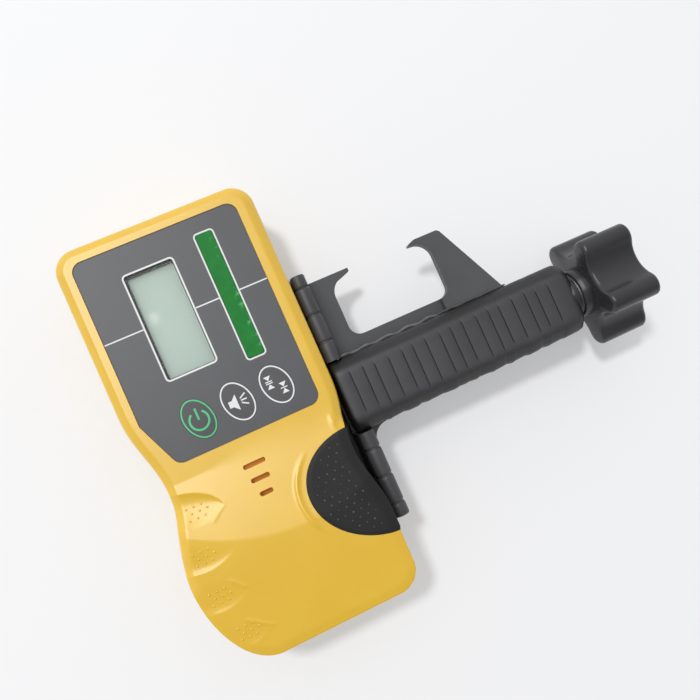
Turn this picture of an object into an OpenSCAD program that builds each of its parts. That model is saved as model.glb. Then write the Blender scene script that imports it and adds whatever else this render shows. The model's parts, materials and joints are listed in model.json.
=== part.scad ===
// Laser receiver with a rod clamp, lying on its back.
// X runs from the receiver towards the star knob, Y towards the receiver's top edge, Z out of its front.
// The origin is on the back face of the bracket's plate, under the receiver's on-grade line.

/* [Receiver case] */
// Width of the case
case_w = 76; // [72:1:84]
// Length of the case
case_l = 162.3; // [156:0.1:176]
// Thickness of the case at the panel
case_t = 29; // [28:0.5:34]
// Height of the rear shell, up to the split
split_h = 13; // [12:0.5:14]
// Thickness of the side walls
wall = 2.2; // [1.8:0.1:2.6]
// Thickness of the back wall
back_wall = 2.6; // [2.4:0.1:3]
// Distance from the top edge down to the on-grade line
grade_drop = 37; // [35:0.5:41]
// Radius of the two top corners
corner_r = 8.5; // [7:0.5:10]
// Rounding of the front and back edges
edge_r = 3; // [2:0.25:4]
// Depth of the waist on the left side
waist_left = 5.5; // [3:0.25:7]
// Depth of the waist on the right side
waist_right = 4; // [2:0.25:5]
// Width of the curved heel at the lower left
heel_w = 21; // [16:0.5:24]
// Length of the curved heel at the lower left
heel_l = 35.3; // [28:0.1:38]
// Radius of the lower right corner
toe_r = 9; // [7:0.5:11]
// Height of the palm swell on the front
swell_h = 3; // [1.5:0.25:4]
// Depth of the finger scallops at the left edge
scallop_depth = 2.2; // [1.6:0.1:2.8]
// Radius of the finger scallops
scallop_r = 10; // [9:0.1:11]
// Distance between the finger scallops
scallop_pitch = 15; // [14.5:0.1:15.5]

/* [Panel] */
// Distance from the case's left side to the panel
panel_left = 6; // [5:0.25:7]
// Distance from the case's right side to the panel
panel_right = 7; // [6:0.25:8]
// Distance from the top edge to the panel
panel_top = 5.8; // [5:0.1:7]
// Length of the panel
panel_l = 80.5; // [78:0.5:84]
// Thickness of the panel
panel_t = 0.8; // [0.6:0.1:1]
// Depth of the panel's face below the rim
panel_sink = 0.4; // [0.2:0.1:0.6]
// Thickness of the front wall behind the panel
front_wall = 2.5; // [2.3:0.1:3]
// Width of the display opening
lcd_w = 18.5; // [16:0.5:21]
// Length of the display opening
lcd_l = 40.5; // [36:0.5:44]
// Distance of the display from the centre line
lcd_x = -7.2; // [-9:0.1:-5]
// Thickness of the display's clear window
lcd_window_t = 1.2; // [0.8:0.1:1.6]
// Thickness of the display
lcd_t = 3.6; // [3:0.1:4]
// Width of the sensor window
sensor_w = 6.8; // [5:0.1:8]
// Length of the sensor window
sensor_l = 49.3; // [44:0.1:52]
// Distance of the sensor window from the centre line
sensor_x = 16.1; // [15:0.1:17]
// Distance of the keys below the on-grade line
key_drop = 37.2; // [36:0.1:38.5]
// Distance between the keys
key_pitch = 15.2; // [14.5:0.1:16]
// Distance of the middle key from the centre line
key_x = 3.2; // [2:0.1:4]
// Width of a key
key_w = 11.5; // [10:0.1:12]
// Length of a key
key_l = 15.9; // [14:0.1:16.5]
// Lean of the keys
key_lean = 17; // [0:1:20]
// Travel of a key
key_travel = 0.6; // [0.3:0.05:0.8]

/* [Battery bay] */
// Radius of a battery cell
cell_r = 7.1; // [6.8:0.1:7.3]
// Length of a battery cell
cell_l = 50; // [48:0.1:50.5]
// Thickness of the battery door
door_t = 2.2; // [1.8:0.1:2.4]

/* [Bracket] */
// Thickness of the bracket's plate
plate_t = 6; // [5.5:0.25:8]
// Distance of the plate's left edge from the centre line
plate_left = 22; // [18:1:26]
// Thickness of the ribbed bar
bar_w = 6.3; // [5.5:0.1:7.5]
// Gap between the case and the bar
bar_gap = 0.7; // [0.4:0.1:1]
// Height of the ribbed bar
bar_h = 31; // [28:0.5:34]
// Distance of the bar's upper end below the on-grade line
bar_top = 2.8; // [2:0.1:6]
// Length of the bar
bar_l = 98.5; // [94:0.5:104]
// Distance between the seams of the bar
bar_pitch = 11; // [8:0.5:14]
// Radius of the bracket screw
mount_r = 3.1; // [2.9:0.05:3.3]
// Distance of the bracket screw below the on-grade line
mount_drop = 33; // [30:0.5:36]

/* [Arm] */
// Distance of the arm's axis below the on-grade line
arm_drop = 52.4; // [51:0.1:54]
// Height of the arm's axis
axis_z = 23.8; // [23.8:0.1:26]
// Width of the arm
arm_w = 29; // [28:0.5:31]
// Height of the arm
arm_h = 20; // [19.5:0.1:22]
// Width of the bevels along the arm
bevel_w = 4; // [3:0.25:4.5]
// Height of the bevels along the arm
bevel_h = 5; // [4:0.25:5.5]
// Distance between the arm's ribs
rib_pitch = 4.7; // [4:0.1:6]
// Depth of the grooves between ribs
rib_depth = 0.5; // [0.3:0.05:0.7]
// Distance from the centre line to the arm's outer end
arm_end = 137; // [136:0.5:146]

/* [Jaws] */
// Thickness of the jaws
jaw_t = 4; // [3.5:0.1:4.4]
// Distance from the centre line to the fixed jaw's face
jaw_face = 53.5; // [53:0.25:56]
// Gap between the jaws at rest
jaw_gap = 41.4; // [38:0.2:42]
// Distance of the rod seat below the on-grade line
seat_drop = 32.4; // [31:0.1:33.5]
// Depth of the jaws above the rod seat
jaw_depth = 26; // [22:0.5:28]
// Travel of the sliding jaw when it closes
close_travel = 24; // [18:0.5:24]
// Travel of the sliding jaw when it opens
open_travel = 16; // [10:0.5:16]

/* [Screw and knob] */
// Radius of the lead screw
screw_r = 3.5; // [3.2:0.1:3.8]
// Outer radius of the knob's lobes
knob_r = 23.5; // [22:0.1:23.5]
// Radius of one lobe
lobe_r = 4.4; // [4:0.1:6]
// Radius of the hollows between lobes, at their deepest
hollow_r = 15; // [14.5:0.1:16]
// Length of the knob's lobed part
knob_l = 20.9; // [19:0.1:24]
// Turn of the knob at rest
knob_phase = 47; // [0:1:71]

/* [Hidden] */
$fn = 48;

// Clearances
fit = 0.05;
slip = 0.15;
loose = 0.3;
over = 1;
hole_room = 0.8;

// Heights
z_back = plate_t;
z_split = z_back + split_h;
z_front = z_back + case_t;
z_panel = z_front - panel_sink;
z_recess = z_panel - panel_t;
z_face = z_recess - front_wall;
z_board = z_face - fit - lcd_t;
board_t = 1.6;

// Case outline
y_top = grade_drop;
y_bottom = y_top - case_l;
y_corner = y_top - corner_r;
y_heel = y_bottom + heel_l;
panel_y1 = y_top - panel_top;
panel_y0 = panel_y1 - panel_l;
waist_left_drop = 8.7;
waist_right_drop = 20.7;
waist_left_span = 32;
waist_right_span = 26;
crease_drop = 6.2;
ramp_l = 28.5;
y_waist_left = panel_y0 - waist_left_drop;
y_waist_right = panel_y0 - waist_right_drop;
y_swell = panel_y0 - crease_drop;
y_crest = y_swell - ramp_l;

function dip(t) = abs(t) >= 1 ? 0 : (1 + cos(180 * t)) / 2;
function ring(a, t) = a - sqrt(max(0, a * a - t * t));

// Sideways reach of the case at height y, drawn in by d
function left_x(y, d) = d - case_w / 2 + waist_left * dip((y - y_waist_left) / waist_left_span)
    + (y > y_corner ? ring(corner_r - d, y - y_corner) : 0)
    + (y < y_heel ? (heel_w - d) / (heel_l - d) * ring(heel_l - d, y - y_heel) : 0);
function right_x(y, d) = case_w / 2 - d - waist_right * dip((y - y_waist_right) / waist_right_span)
    - (y > y_corner ? ring(corner_r - d, y - y_corner) : 0)
    - (y < y_bottom + toe_r ? ring(toe_r - d, y - y_bottom - toe_r) : 0);

// Rows from the top edge to the bottom edge, close together round the corners
mid_rows = 20;
function rows(d) = concat(
    [for (a = [90:-15:0]) y_corner + (corner_r - d) * sin(a)],
    [for (i = [1:mid_rows]) y_corner + (y_heel - y_corner) * i / mid_rows],
    [for (a = [7.5:7.5:90]) y_heel - (heel_l - d) * sin(a)]);
row_n = len(rows(0));

function outline(d) = let (ys = rows(d)) concat(
    [for (i = [0:row_n - 1]) [left_x(ys[i], d), ys[i]]],
    [for (i = [row_n - 1:-1:0]) [right_x(ys[i], d), ys[i]]]);

// Palm swell: a ramp that starts in a crease below the panel, a crest and a long fall
function swell(y) = y > y_swell ? 0
    : y > y_crest ? swell_h * sin(90 * (y_swell - y) / (y_swell - y_crest))
    : swell_h * cos(90 * (y_crest - y) / (y_crest - y_bottom));

// Half of the case as a lofted solid: the outline drawn in by d, from z0 up to z1, with its far edge rounded
module case_half(d, z0, z1, r, h) {
    n = 2 * row_n;
    turns = [0:18:90];
    levels = concat([[0, z0, 0]], [for (a = turns) [r * (1 - cos(a)), z1 - r + r * sin(a), h]]);
    points = [for (l = levels) for (p = outline(d + l[0])) [p.x, p.y, l[1] + l[2] * swell(p.y)]];
    top = (len(levels) - 1) * n;
    walls = [for (k = [0:len(levels) - 2]) for (i = [0:n - 1]) let (a = k * n + i, b = k * n + (i + 1) % n)
        each [[a, a + n, b], [b, a + n, b + n]]];
    caps = [for (i = [0:row_n - 2]) each [
        [top + i, top + n - 1 - i, top + n - 2 - i],
        [top + i, top + n - 2 - i, top + i + 1],
        [i, n - 2 - i, n - 1 - i],
        [i, i + 1, n - 2 - i]]];
    polyhedron(points, concat(walls, caps), convexity = 6);
}
module front_half(d, drop, r) case_half(d, z_split - (d > 0 ? over : 0), z_front - drop, r, 1);
module rear_half(d, lift, r) translate([0, 0, z_split]) mirror([0, 0, 1])
    case_half(d, d > 0 ? -over : 0, split_h - lift, r, 0);

// Flat shapes
function arc(c, r, a0, a1, n = 8) =
    [for (i = [0:n]) let (a = a0 + (a1 - a0) * i / n) c + r * [cos(a), sin(a)]];
module rounded(w, l, r) {
    square([w - 2 * r, l], center = true);
    square([w, l - 2 * r], center = true);
    for (sx = [-1, 1], sy = [-1, 1]) translate([sx * (w / 2 - r), sy * (l / 2 - r)]) circle(r);
}
module bar_x(r, x0, x1) translate([x0, 0, 0]) rotate([0, 90, 0]) cylinder(r = r, h = x1 - x0);
module on_axis() translate([0, -arm_drop, axis_z]) children();
module screw(r, l, head_r, head_h) {
    cylinder(r = head_r, h = head_h);
    cylinder(r = r, h = head_h + l);
}

// Panel outline, grown by g
panel_r = 4;
panel_x0 = panel_left - case_w / 2;
panel_x1 = case_w / 2 - panel_right;
slant_h = 17.8;
slant_w = 6;
slant_a = atan(slant_w / slant_h);
function panel_outline(g) = concat(
    arc([panel_x1 - panel_r, panel_y1 - panel_r], panel_r + g, 0, 90),
    arc([panel_x0 + panel_r, panel_y1 - panel_r], panel_r + g, 90, 180),
    [[panel_x0 - g, panel_y0 + slant_h]],
    arc([panel_x0 + slant_w + panel_r, panel_y0 + panel_r], panel_r + g, 180 + slant_a, 270),
    arc([panel_x1 - panel_r, panel_y0 + panel_r], panel_r + g, 270, 360));

// Keys
key_places = [for (k = [-1:1]) [key_x + k * key_pitch, -key_drop]];
flange_t = 0.8;
flange_w = 1.2;
stem_r = 2.4;
module oval(g) rotate(key_lean)
    polygon([for (a = [0:7.5:359]) [(key_w / 2 + g) * cos(a), (key_l / 2 + g) * sin(a)]]);
module key(k) translate(key_places[k]) {
    translate([0, 0, z_recess - 2 * fit - flange_t]) linear_extrude(flange_t) oval(flange_w);
    translate([0, 0, z_recess - 2 * fit - flange_t])
        linear_extrude(z_panel - z_recess + 2 * fit + flange_t) oval(-loose);
    translate([0, 0, z_face]) cylinder(r = stem_r, h = z_recess - z_face - fit);
}

// Sound slots over the buzzer
slot_h = 1.75;
slot_pitch = 5.5;
slot_w = [8.6, 7.2, 5.1];
sound_x = -0.4;
sound_drop = 16.2;
sound_y = panel_y0 - sound_drop;
buzzer_r = 6.5;
buzzer_h = 5;
buzzer_top = z_face + swell(sound_y + buzzer_r) - 2 * fit;
collar_w = 1.5;

// Screw places in the case
case_screw_r = 1.4;
case_screw_bite = 7;
boss_r = 3.6;
boss_gap = 0.6;
boss_in = wall + boss_r + boss_gap;
low_boss_rise = 15;
y_low_boss = y_bottom + low_boss_rise;
case_screw_places = [
    [boss_in - case_w / 2, y_top - boss_in],
    [case_w / 2 - boss_in, y_top - boss_in],
    [left_x(y_low_boss, boss_in), y_low_boss],
    [case_w / 2 - boss_in, y_low_boss]];
sensor_flange_t = 1.4;
sensor_flange_w = 1.4;
board_screw_r = 1.1;
board_screw_bite = 2.6;
board_boss_r = 2.6;
board_boss_gap = 0.5;
board_screw_x = sensor_x + sensor_w / 2 + sensor_flange_w + board_boss_r + board_boss_gap;
board_screw_top = 26;
board_screw_drop = 6.8;
board_screw_low = -key_drop - board_screw_drop;
board_screw_places = [for (s = [-1, 1], y = [board_screw_low, board_screw_top]) [s * board_screw_x, y]];

// Battery bay
cell_gap = 0.4;
bay_room = 1.6;
cell_x = cell_r + cell_gap;
bay_w = 2 * (cell_x + cell_r + bay_room);
cell_z = z_back + door_t + loose + cell_r;
spring_l = 2.8;
stud_l = 2;
cell_y0 = y_bottom + wall + fit + spring_l;
cell_y1 = cell_y0 + cell_l;
bay_y1 = cell_y1 + stud_l;
rib_t = 1.6;
rib_drop = 2;
door_w = bay_w;
tongue_w = 1.2;
tongue_t = 0.8;
tongue_z = z_back + (door_t - tongue_t) / 2;
tongue_rise = 12;

// Finger scallops: tilted round cutters over the left front edge
scallop_tilt = 7;
scallop_reach = scallop_depth / tan(scallop_tilt);
scallop_tail = 12;
scallop_drop = 17.7;
scallop_places = [for (k = [0:3]) panel_y0 - scallop_drop - k * scallop_pitch];
module scallops(g) for (y = scallop_places)
    translate([left_x(y, 0), y, z_front + swell(y) - scallop_depth]) rotate([0, 90 - scallop_tilt, 0])
        translate([-scallop_r, 0, -2 * scallop_r])
            cylinder(r = scallop_r + g, h = 2 * scallop_r + scallop_reach + scallop_tail);

// Rubber grip outline, grown by g: half an oval that leans, open towards the right side
grip_drop = 33.6;
grip_y = panel_y0 - grip_drop;
grip_out = 0.4;
grip_x = case_w / 2 + grip_out;
grip_l = 42.2;
grip_w = 26;
grip_lean = 2.4;
grip_t = 1.6;
grip_seat = grip_t + slip;
grip_lift = 1;
module grip_shape(g) polygon([for (a = [90:7.5:270])
    let (tail = a == 90 || a == 270 ? over + g : 0)
    [grip_x - g + (grip_w + g) * cos(a) + tail, grip_y + (grip_l / 2 + g) * sin(a) - grip_lean * cos(a)]]);
module grip_block(g) translate([0, 0, z_split + grip_lift - g]) linear_extrude(case_t) grip_shape(g);

module front_shell() color("#e6ba3c") difference() {
    union() {
        difference() {
            front_half(0, 0, edge_r);
            difference() {
                union() {
                    difference() {
                        front_half(wall, z_front - z_face, 1);
                        grip_block(wall);
                    }
                    // deeper hollow, behind the seat of the rubber grip
                    front_half(grip_seat + wall, grip_seat + wall, 1);
                }
                scallops(wall);
            }
        }
        intersection() {
            front_half(wall / 2, z_front - z_face - fit, 1);
            union() {
                for (p = case_screw_places) translate([p.x, p.y, z_split]) cylinder(r = boss_r, h = case_t);
                for (p = board_screw_places) translate([p.x, p.y, z_board])
                    cylinder(r = board_boss_r, h = case_t);
                translate([sound_x, sound_y, buzzer_top - buzzer_h]) difference() {
                    cylinder(r = buzzer_r + slip + collar_w, h = case_t);
                    translate([0, 0, -over]) cylinder(r = buzzer_r + slip, h = case_t + 2 * over);
                }
            }
        }
    }
    translate([0, 0, z_recess]) linear_extrude(case_t) polygon(panel_outline(slip));
    translate([lcd_x, 0, z_recess - lcd_window_t]) linear_extrude(case_t) lcd_shape(lcd_lip + slip);
    translate([lcd_x, 0, z_face - over]) linear_extrude(case_t) lcd_shape(0);
    translate([sensor_x, 0, z_face - over]) linear_extrude(case_t) sensor_shape(0);
    for (p = key_places) translate([p.x, p.y, 0]) {
        translate([0, 0, z_recess - 4 * fit - flange_t - key_travel]) linear_extrude(case_t)
            oval(flange_w + slip);
        translate([0, 0, z_face - over]) cylinder(r = stem_r + loose, h = case_t);
    }
    for (k = [0:2]) translate([sound_x, sound_y + (1 - k) * slot_pitch, buzzer_top])
        linear_extrude(case_t) rounded(slot_w[k], slot_h, slot_h / 2 - 0.01);
    scallops(0);
    difference() {
        grip_block(slip);
        front_half(grip_seat, grip_seat, edge_r - grip_t);
    }
    for (p = case_screw_places) translate([p.x, p.y, z_split - over])
        cylinder(r = case_screw_r + fit, h = over + case_screw_bite + hole_room);
    for (p = board_screw_places) translate([p.x, p.y, z_board - over])
        cylinder(r = board_screw_r + fit, h = over + board_screw_bite + hole_room);
}

module rear_shell() color("#e6ba3c") difference() {
    union() {
        difference() {
            rear_half(0, 0, edge_r);
            rear_half(wall, back_wall, 1);
        }
        intersection() {
            rear_half(wall / 2, back_wall / 2, 1);
            union() {
                for (p = case_screw_places) translate([p.x, p.y, z_back]) cylinder(r = boss_r, h = split_h);
                translate([0, -mount_drop, z_back])
                    cylinder(r = insert_r + insert_wall, h = insert_l + insert_wall);
                // sides and upper end of the battery bay
                for (s = [-1, 1]) translate([s * (bay_w + rib_t) / 2 - rib_t / 2, y_bottom, z_back])
                    cube([rib_t, bay_y1 - y_bottom, split_h - rib_drop]);
                translate([-bay_w / 2 - rib_t, bay_y1, z_back])
                    cube([bay_w + 2 * rib_t, rib_t, split_h - rib_drop]);
            }
        }
    }
    for (p = case_screw_places) translate([p.x, p.y, z_back - over]) {
        cylinder(r = case_screw_r + fit, h = split_h + 2 * over);
        cylinder(r = case_head_r + slip, h = case_head_h + slip + over);
    }
    translate([0, -mount_drop, z_back - over]) cylinder(r = insert_r + fit, h = insert_l + fit + over);
    // opening and rails of the battery door
    translate([-door_w / 2 - slip, y_bottom - over, z_back - over])
        cube([door_w + 2 * slip, bay_y1 - y_bottom + over - loose, over + back_wall + loose]);
    translate([-door_w / 2 - tongue_w - loose, y_bottom - over, tongue_z - slip])
        cube([door_w + 2 * tongue_w + 2 * loose, bay_y1 - y_bottom + over - loose, tongue_t + 2 * slip]);
    // groove of the seal
    translate([0, 0, z_split - seal_h]) linear_extrude(case_t) difference() {
        polygon(outline(seal_in));
        polygon(outline(seal_in + seal_w));
    }
}

seal_in = 0.6;
seal_w = 0.9;
seal_h = 0.8;
module case_seal() color("#202020") translate([0, 0, z_split - seal_h + fit])
    linear_extrude(seal_h - 2 * fit) difference() {
        polygon(outline(seal_in + fit));
        polygon(outline(seal_in + seal_w - fit));
    }

case_head_r = 2.6;
case_head_h = 2;
module case_screws() color("#9a9c9e") for (p = case_screw_places)
    translate([p.x, p.y, z_back + slip])
        screw(case_screw_r, split_h - case_head_h + case_screw_bite, case_head_r, case_head_h);

module panel_overlay() color("#5f5f62") translate([0, 0, z_recess]) linear_extrude(panel_t) difference() {
    polygon(panel_outline(0));
    translate([lcd_x, 0]) lcd_shape(0);
    translate([sensor_x, 0]) sensor_shape(0);
    for (p = key_places) translate(p) oval(0);
}

lcd_r = 1;
lcd_lip = 1;
module lcd_shape(g) rounded(lcd_w + 2 * g, lcd_l + 2 * g, lcd_r + g / 2);
module lcd_window() color("#d8e2e6", 0.4) translate([lcd_x, 0, z_recess - lcd_window_t])
    linear_extrude(lcd_window_t) lcd_shape(lcd_lip);

lcd_rim = 2.5;
module lcd_module() color("#c3d2c8") translate([lcd_x, 0, z_board])
    linear_extrude(lcd_t) square([lcd_w + 2 * lcd_rim, lcd_l + 2 * lcd_rim], center = true);

sensor_r = 1.2;
z_filter = z_face - fit - sensor_flange_t;
module sensor_shape(g) rounded(sensor_w + 2 * g, sensor_l + 2 * g, sensor_r);
module sensor_window() color("#1f8c3c", 0.8) translate([sensor_x, 0, z_filter]) {
    linear_extrude(z_panel - z_filter - 2 * fit) sensor_shape(-slip);
    linear_extrude(sensor_flange_t) sensor_shape(sensor_flange_w);
}

diode_n = 7;
diode_h = 1;
diode_w = 4;
z_diode = z_filter - 2 * fit - diode_h;
module sensor_board() color("#2c5a36") translate([sensor_x, 0, z_board])
    linear_extrude(z_diode - z_board)
        square([sensor_w + 2 * sensor_flange_w, sensor_l + 2 * sensor_flange_w], center = true);
module photodiodes() color("#26262c") for (k = [0:diode_n - 1])
    translate([sensor_x, (k - (diode_n - 1) / 2) * sensor_l / diode_n, z_diode])
        linear_extrude(diode_h) square([diode_w, diode_w + 1], center = true);

board_edge = 3.7;
board_w = 2 * (board_screw_x + board_edge);
board_y0 = board_screw_low - board_edge;
board_l = board_screw_top + board_edge - board_y0;
board_head_r = 2;
board_head_h = 1.4;
module main_board() color("#2f6b3c") translate([0, 0, z_board - board_t]) difference() {
    translate([-board_w / 2, board_y0, 0]) cube([board_w, board_l, board_t]);
    for (p = board_screw_places) translate([p.x, p.y, -over])
        cylinder(r = board_screw_r + slip, h = board_t + 2 * over);
}
module board_screws() color("#9a9c9e") for (p = board_screw_places)
    translate([p.x, p.y, z_board - board_t - board_head_h])
        screw(board_screw_r, board_t + board_screw_bite, board_head_r, board_head_h);

module power_key() color("#4c4d50") key(0);
module sound_key() color("#4c4d50") key(1);
module precision_key() color("#4c4d50") key(2);

switch_w = 6;
z_switch = z_face - key_travel - 2 * fit;
plunger_h = 0.8;
plunger_r = 1.7;
module key_switches() color("#1c1c1c") for (p = key_places) translate([p.x, p.y, z_board]) {
    linear_extrude(z_switch - z_board - plunger_h) square(switch_w, center = true);
    cylinder(r = plunger_r, h = z_switch - z_board);
}

port_r = 1;
port_depth = 1;
module buzzer() color("#18181a") translate([sound_x, sound_y, buzzer_top - buzzer_h]) difference() {
    cylinder(r = buzzer_r, h = buzzer_h);
    translate([0, 0, buzzer_h - port_depth]) cylinder(r = port_r, h = port_depth + over);
}

cap_r = 2.7;
cap_h = 1;
module battery_cells() color("#3c4a52") for (s = [-1, 1])
    translate([s * cell_x, cell_y0, cell_z]) rotate([-90, 0, 0]) {
        cylinder(r = cell_r, h = cell_l - cap_h);
        cylinder(r = cap_r, h = cell_l);
    }

contact_t = 0.5;
contact_in = 1;
contact_w = 2 * (cell_r - contact_in);
spring_r = 3.4;
stud_r = 2.2;
module contact(y, y_tip, r) {
    translate([-contact_w / 2, y, -contact_w / 2]) cube([contact_w, contact_t, contact_w]);
    translate([0, min(y, y_tip), 0]) rotate([-90, 0, 0]) cylinder(r = r, h = abs(y_tip - y));
}
module battery_contacts() color("#c8c8c4") for (s = [-1, 1]) translate([s * cell_x, 0, cell_z]) {
    contact(y_bottom + wall + fit, cell_y0 - fit, spring_r);
    contact(bay_y1 - fit - contact_t, cell_y1 + fit, stud_r);
}

module battery_door() color("#e6ba3c") {
    intersection() {
        rear_half(0, 0, edge_r);
        translate([-door_w / 2, y_bottom - over, z_back - over])
            cube([door_w, bay_y1 - y_bottom + over - 2 * loose, door_t + over]);
    }
    translate([-door_w / 2 - tongue_w, y_bottom + tongue_rise, tongue_z])
        cube([door_w + 2 * tongue_w, bay_y1 - y_bottom - tongue_rise - 2 * loose, tongue_t]);
}

module side_grip() color("#373637") intersection() {
    difference() {
        front_half(0, 0, edge_r);
        front_half(grip_t, grip_t, edge_r - grip_t);
    }
    grip_block(0);
}

insert_r = 5;
insert_l = 9;
insert_wall = 2;
module mount_insert() color("#b8934a") translate([0, -mount_drop, z_back + fit]) difference() {
    cylinder(r = insert_r, h = insert_l - fit);
    translate([0, 0, -over]) cylinder(r = mount_r + fit, h = insert_l + 2 * over);
}

// Bracket: plate behind the case, ribbed bar beside it, pedestal under the arm
bar_x0 = case_w / 2 + bar_gap;
bar_x1 = bar_x0 + bar_w;
bar_y1 = -bar_top;
bar_y0 = bar_y1 - bar_l;
stub_l = 5.5;
seam_w = 0.7;
seam_depth = 0.5;
plate_y1 = 6;
plate_foot = 28;
plate_y0 = -mount_drop - plate_foot;
plate_r = 5;
plate_in = 2;
plate_x1 = case_w / 2 - plate_in;
flange_x0 = 24;
flange_r = 2;
pedestal_w = 24;
pedestal_l = 18;
z_arm = axis_z - arm_h / 2;
head_h = 2.8;
head_r = 6;
coin_w = 1.8;
coin_depth = 1.4;
retainer_r = 5;
retainer_t = 0.8;

module bar_profile(g) {
    translate([bar_x0 + g, 0]) square([bar_w - 2 * g, bar_h - bar_w / 2]);
    translate([bar_x0 + bar_w / 2, bar_h - bar_w / 2]) circle(bar_w / 2 - g);
}
module along_y(y0, y1) translate([0, y1, 0]) rotate([90, 0, 0]) linear_extrude(y1 - y0) children();
seam_n = floor((bar_l - stub_l) / bar_pitch);
module bracket_frame() color("#3a3a3c") difference() {
    union() {
        translate([(plate_x1 - plate_left) / 2, (plate_y0 + plate_y1) / 2, 0]) linear_extrude(plate_t)
            rounded(plate_x1 + plate_left, plate_y1 - plate_y0, plate_r);
        translate([(bar_x1 + flange_x0) / 2, (bar_y0 + bar_y1) / 2, 0]) linear_extrude(plate_t)
            rounded(bar_x1 - flange_x0, bar_l, flange_r);
        along_y(bar_y0, bar_y1) bar_profile(seam_depth);
        for (k = [0:seam_n]) let (y = bar_y1 - stub_l - k * bar_pitch)
            along_y(max(y - bar_pitch + seam_w, bar_y0), y) bar_profile(0);
        translate([bar_x0, -arm_drop - pedestal_w / 2, 0]) cube([pedestal_l, pedestal_w, z_arm]);
    }
    // seat of the arm
    translate([bar_x0 - over, -arm_drop - arm_w / 2 - slip, z_arm])
        cube([bar_w + 2 * over, arm_w + 2 * slip, bar_h]);
    translate([0, -mount_drop, -over]) {
        cylinder(r = mount_r + slip, h = plate_t + 2 * over);
        cylinder(r = head_r + loose, h = over + head_h + slip);
        translate([0, 0, over + plate_t - retainer_t - slip]) cylinder(r = retainer_r + slip, h = plate_t);
    }
    for (p = arm_screw_places) translate([p.x, p.y, -over]) {
        cylinder(r = arm_screw_r + slip, h = z_arm + 2 * over);
        cylinder(r = arm_screw_head_r + slip, h = over + arm_screw_sink);
    }
}

module bracket_screw() color("#8e9092") translate([0, -mount_drop, slip]) difference() {
    screw(mount_r, plate_t - head_h + insert_l - hole_room, head_r, head_h);
    translate([-coin_w / 2, -head_r - over, -over]) cube([coin_w, 2 * head_r + 2 * over, over + coin_depth]);
}
module screw_retainer() color("#2a2a2c") translate([0, -mount_drop, plate_t - retainer_t - fit])
    difference() {
        cylinder(r = retainer_r, h = retainer_t);
        translate([0, 0, -over]) cylinder(r = mount_r + fit, h = retainer_t + 2 * over);
    }

// Arm: ribbed box with the screw's cavity, open at its outer end
arm_gap = 0.5;
arm_x0 = bar_x0 + arm_gap;
root_past = 3;
root_end = jaw_face + root_past;
arm_wall = 3.5;
cavity_w = arm_w - 2 * arm_wall;
cavity_h = arm_h - 2 * arm_wall;
jaw_z = axis_z - jaw_t / 2;
fixed_z = jaw_z - loose - jaw_t;
rail_in = 2;
fin_x0 = jaw_face + jaw_gap;
fin_foot = 20.7;
toe_w = 4;
slot_x0 = fin_x0 - toe_w - close_travel - loose;
slot_x1 = fin_x0 + fin_foot + open_travel + loose;
arm_screw_r = 1.9;
arm_screw_head_r = 3;
arm_screw_head_h = 2.4;
arm_screw_sink = 6;
arm_screw_bite = 9;
arm_screw_in = 5;
arm_screw_pitch = 16;
arm_screw_places = [for (s = [-1, 1]) [bar_x0 + arm_screw_in, s * arm_screw_pitch / 2 - arm_drop]];
jaw_bolt_r = 1.2;
jaw_bolt_head_r = 2;
jaw_bolt_head_h = 1.6;
jaw_bolt_bite = 2.5;
jaw_bolt_pitch = 4.6;
jaw_bolt_in = 3;
arm_side = arm_w / 2 - arm_drop;
root_tongue_gap = 2;
root_tongue_wall = 1;
root_tongue_x0 = bar_x1 + root_tongue_gap;
root_tongue_x1 = root_end - root_tongue_wall;
root_tongue_in = 10;
root_tongue_x = (root_tongue_x0 + root_tongue_x1) / 2;
jaw_bolt_places = [for (s = [-1, 1])
    [root_tongue_x + s * jaw_bolt_pitch / 2, arm_side - root_tongue_in + jaw_bolt_in]];
pilot_r = 2.5;
pilot_l = 4;

function arm_section(g) = let (w = arm_w / 2 - g, h = arm_h / 2 - g) [
    [w, bevel_h - h], [w, h - bevel_h], [w - bevel_w, h], [bevel_w - w, h],
    [-w, h - bevel_h], [-w, bevel_h - h], [bevel_w - w, -h], [w - bevel_w, -h]];
module along_x(x0, x1) on_axis() translate([x0, 0, 0]) rotate([90, 0, 90]) linear_extrude(x1 - x0) children();
rib_n = floor((arm_end - arm_x0) / rib_pitch);

module arm_housing() color("#414144") difference() {
    union() {
        along_x(arm_x0, arm_end) polygon(arm_section(rib_depth));
        for (k = [0:rib_n]) let (x = arm_x0 + k * rib_pitch)
            along_x(x, min(x + rib_pitch - seam_w, arm_end)) polygon(arm_section(0));
    }
    along_x(root_end, arm_end + over) square([cavity_w, cavity_h], center = true);
    on_axis() bar_x(pilot_r + fit, root_end - pilot_l - loose, root_end + over);
    // slot for the sliding jaw, and groove for the fixed jaw's rail
    translate([slot_x0, -arm_drop, jaw_z - loose]) cube([slot_x1 - slot_x0, arm_w, jaw_t + 2 * loose]);
    translate([arm_x0 - over, arm_side - rail_in - slip, fixed_z - fit])
        cube([rail_end - arm_x0 + over + slip, arm_w, jaw_t + 2 * fit]);
    translate([root_tongue_x0 - slip, arm_side - root_tongue_in - slip, fixed_z - fit])
        cube([root_tongue_x1 - root_tongue_x0 + 2 * slip, arm_w, jaw_t + 2 * fit]);
    for (p = arm_screw_places) translate([p.x, p.y, z_arm - over])
        cylinder(r = arm_screw_r + fit, h = arm_screw_bite + hole_room + over);
    for (p = jaw_bolt_places) translate([p.x, p.y, z_arm - over]) {
        cylinder(r = jaw_bolt_r + fit, h = over + fixed_z + jaw_t - z_arm + jaw_bolt_bite + hole_room);
        cylinder(r = jaw_bolt_head_r + slip, h = over + jaw_bolt_head_h + slip);
    }
}
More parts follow.
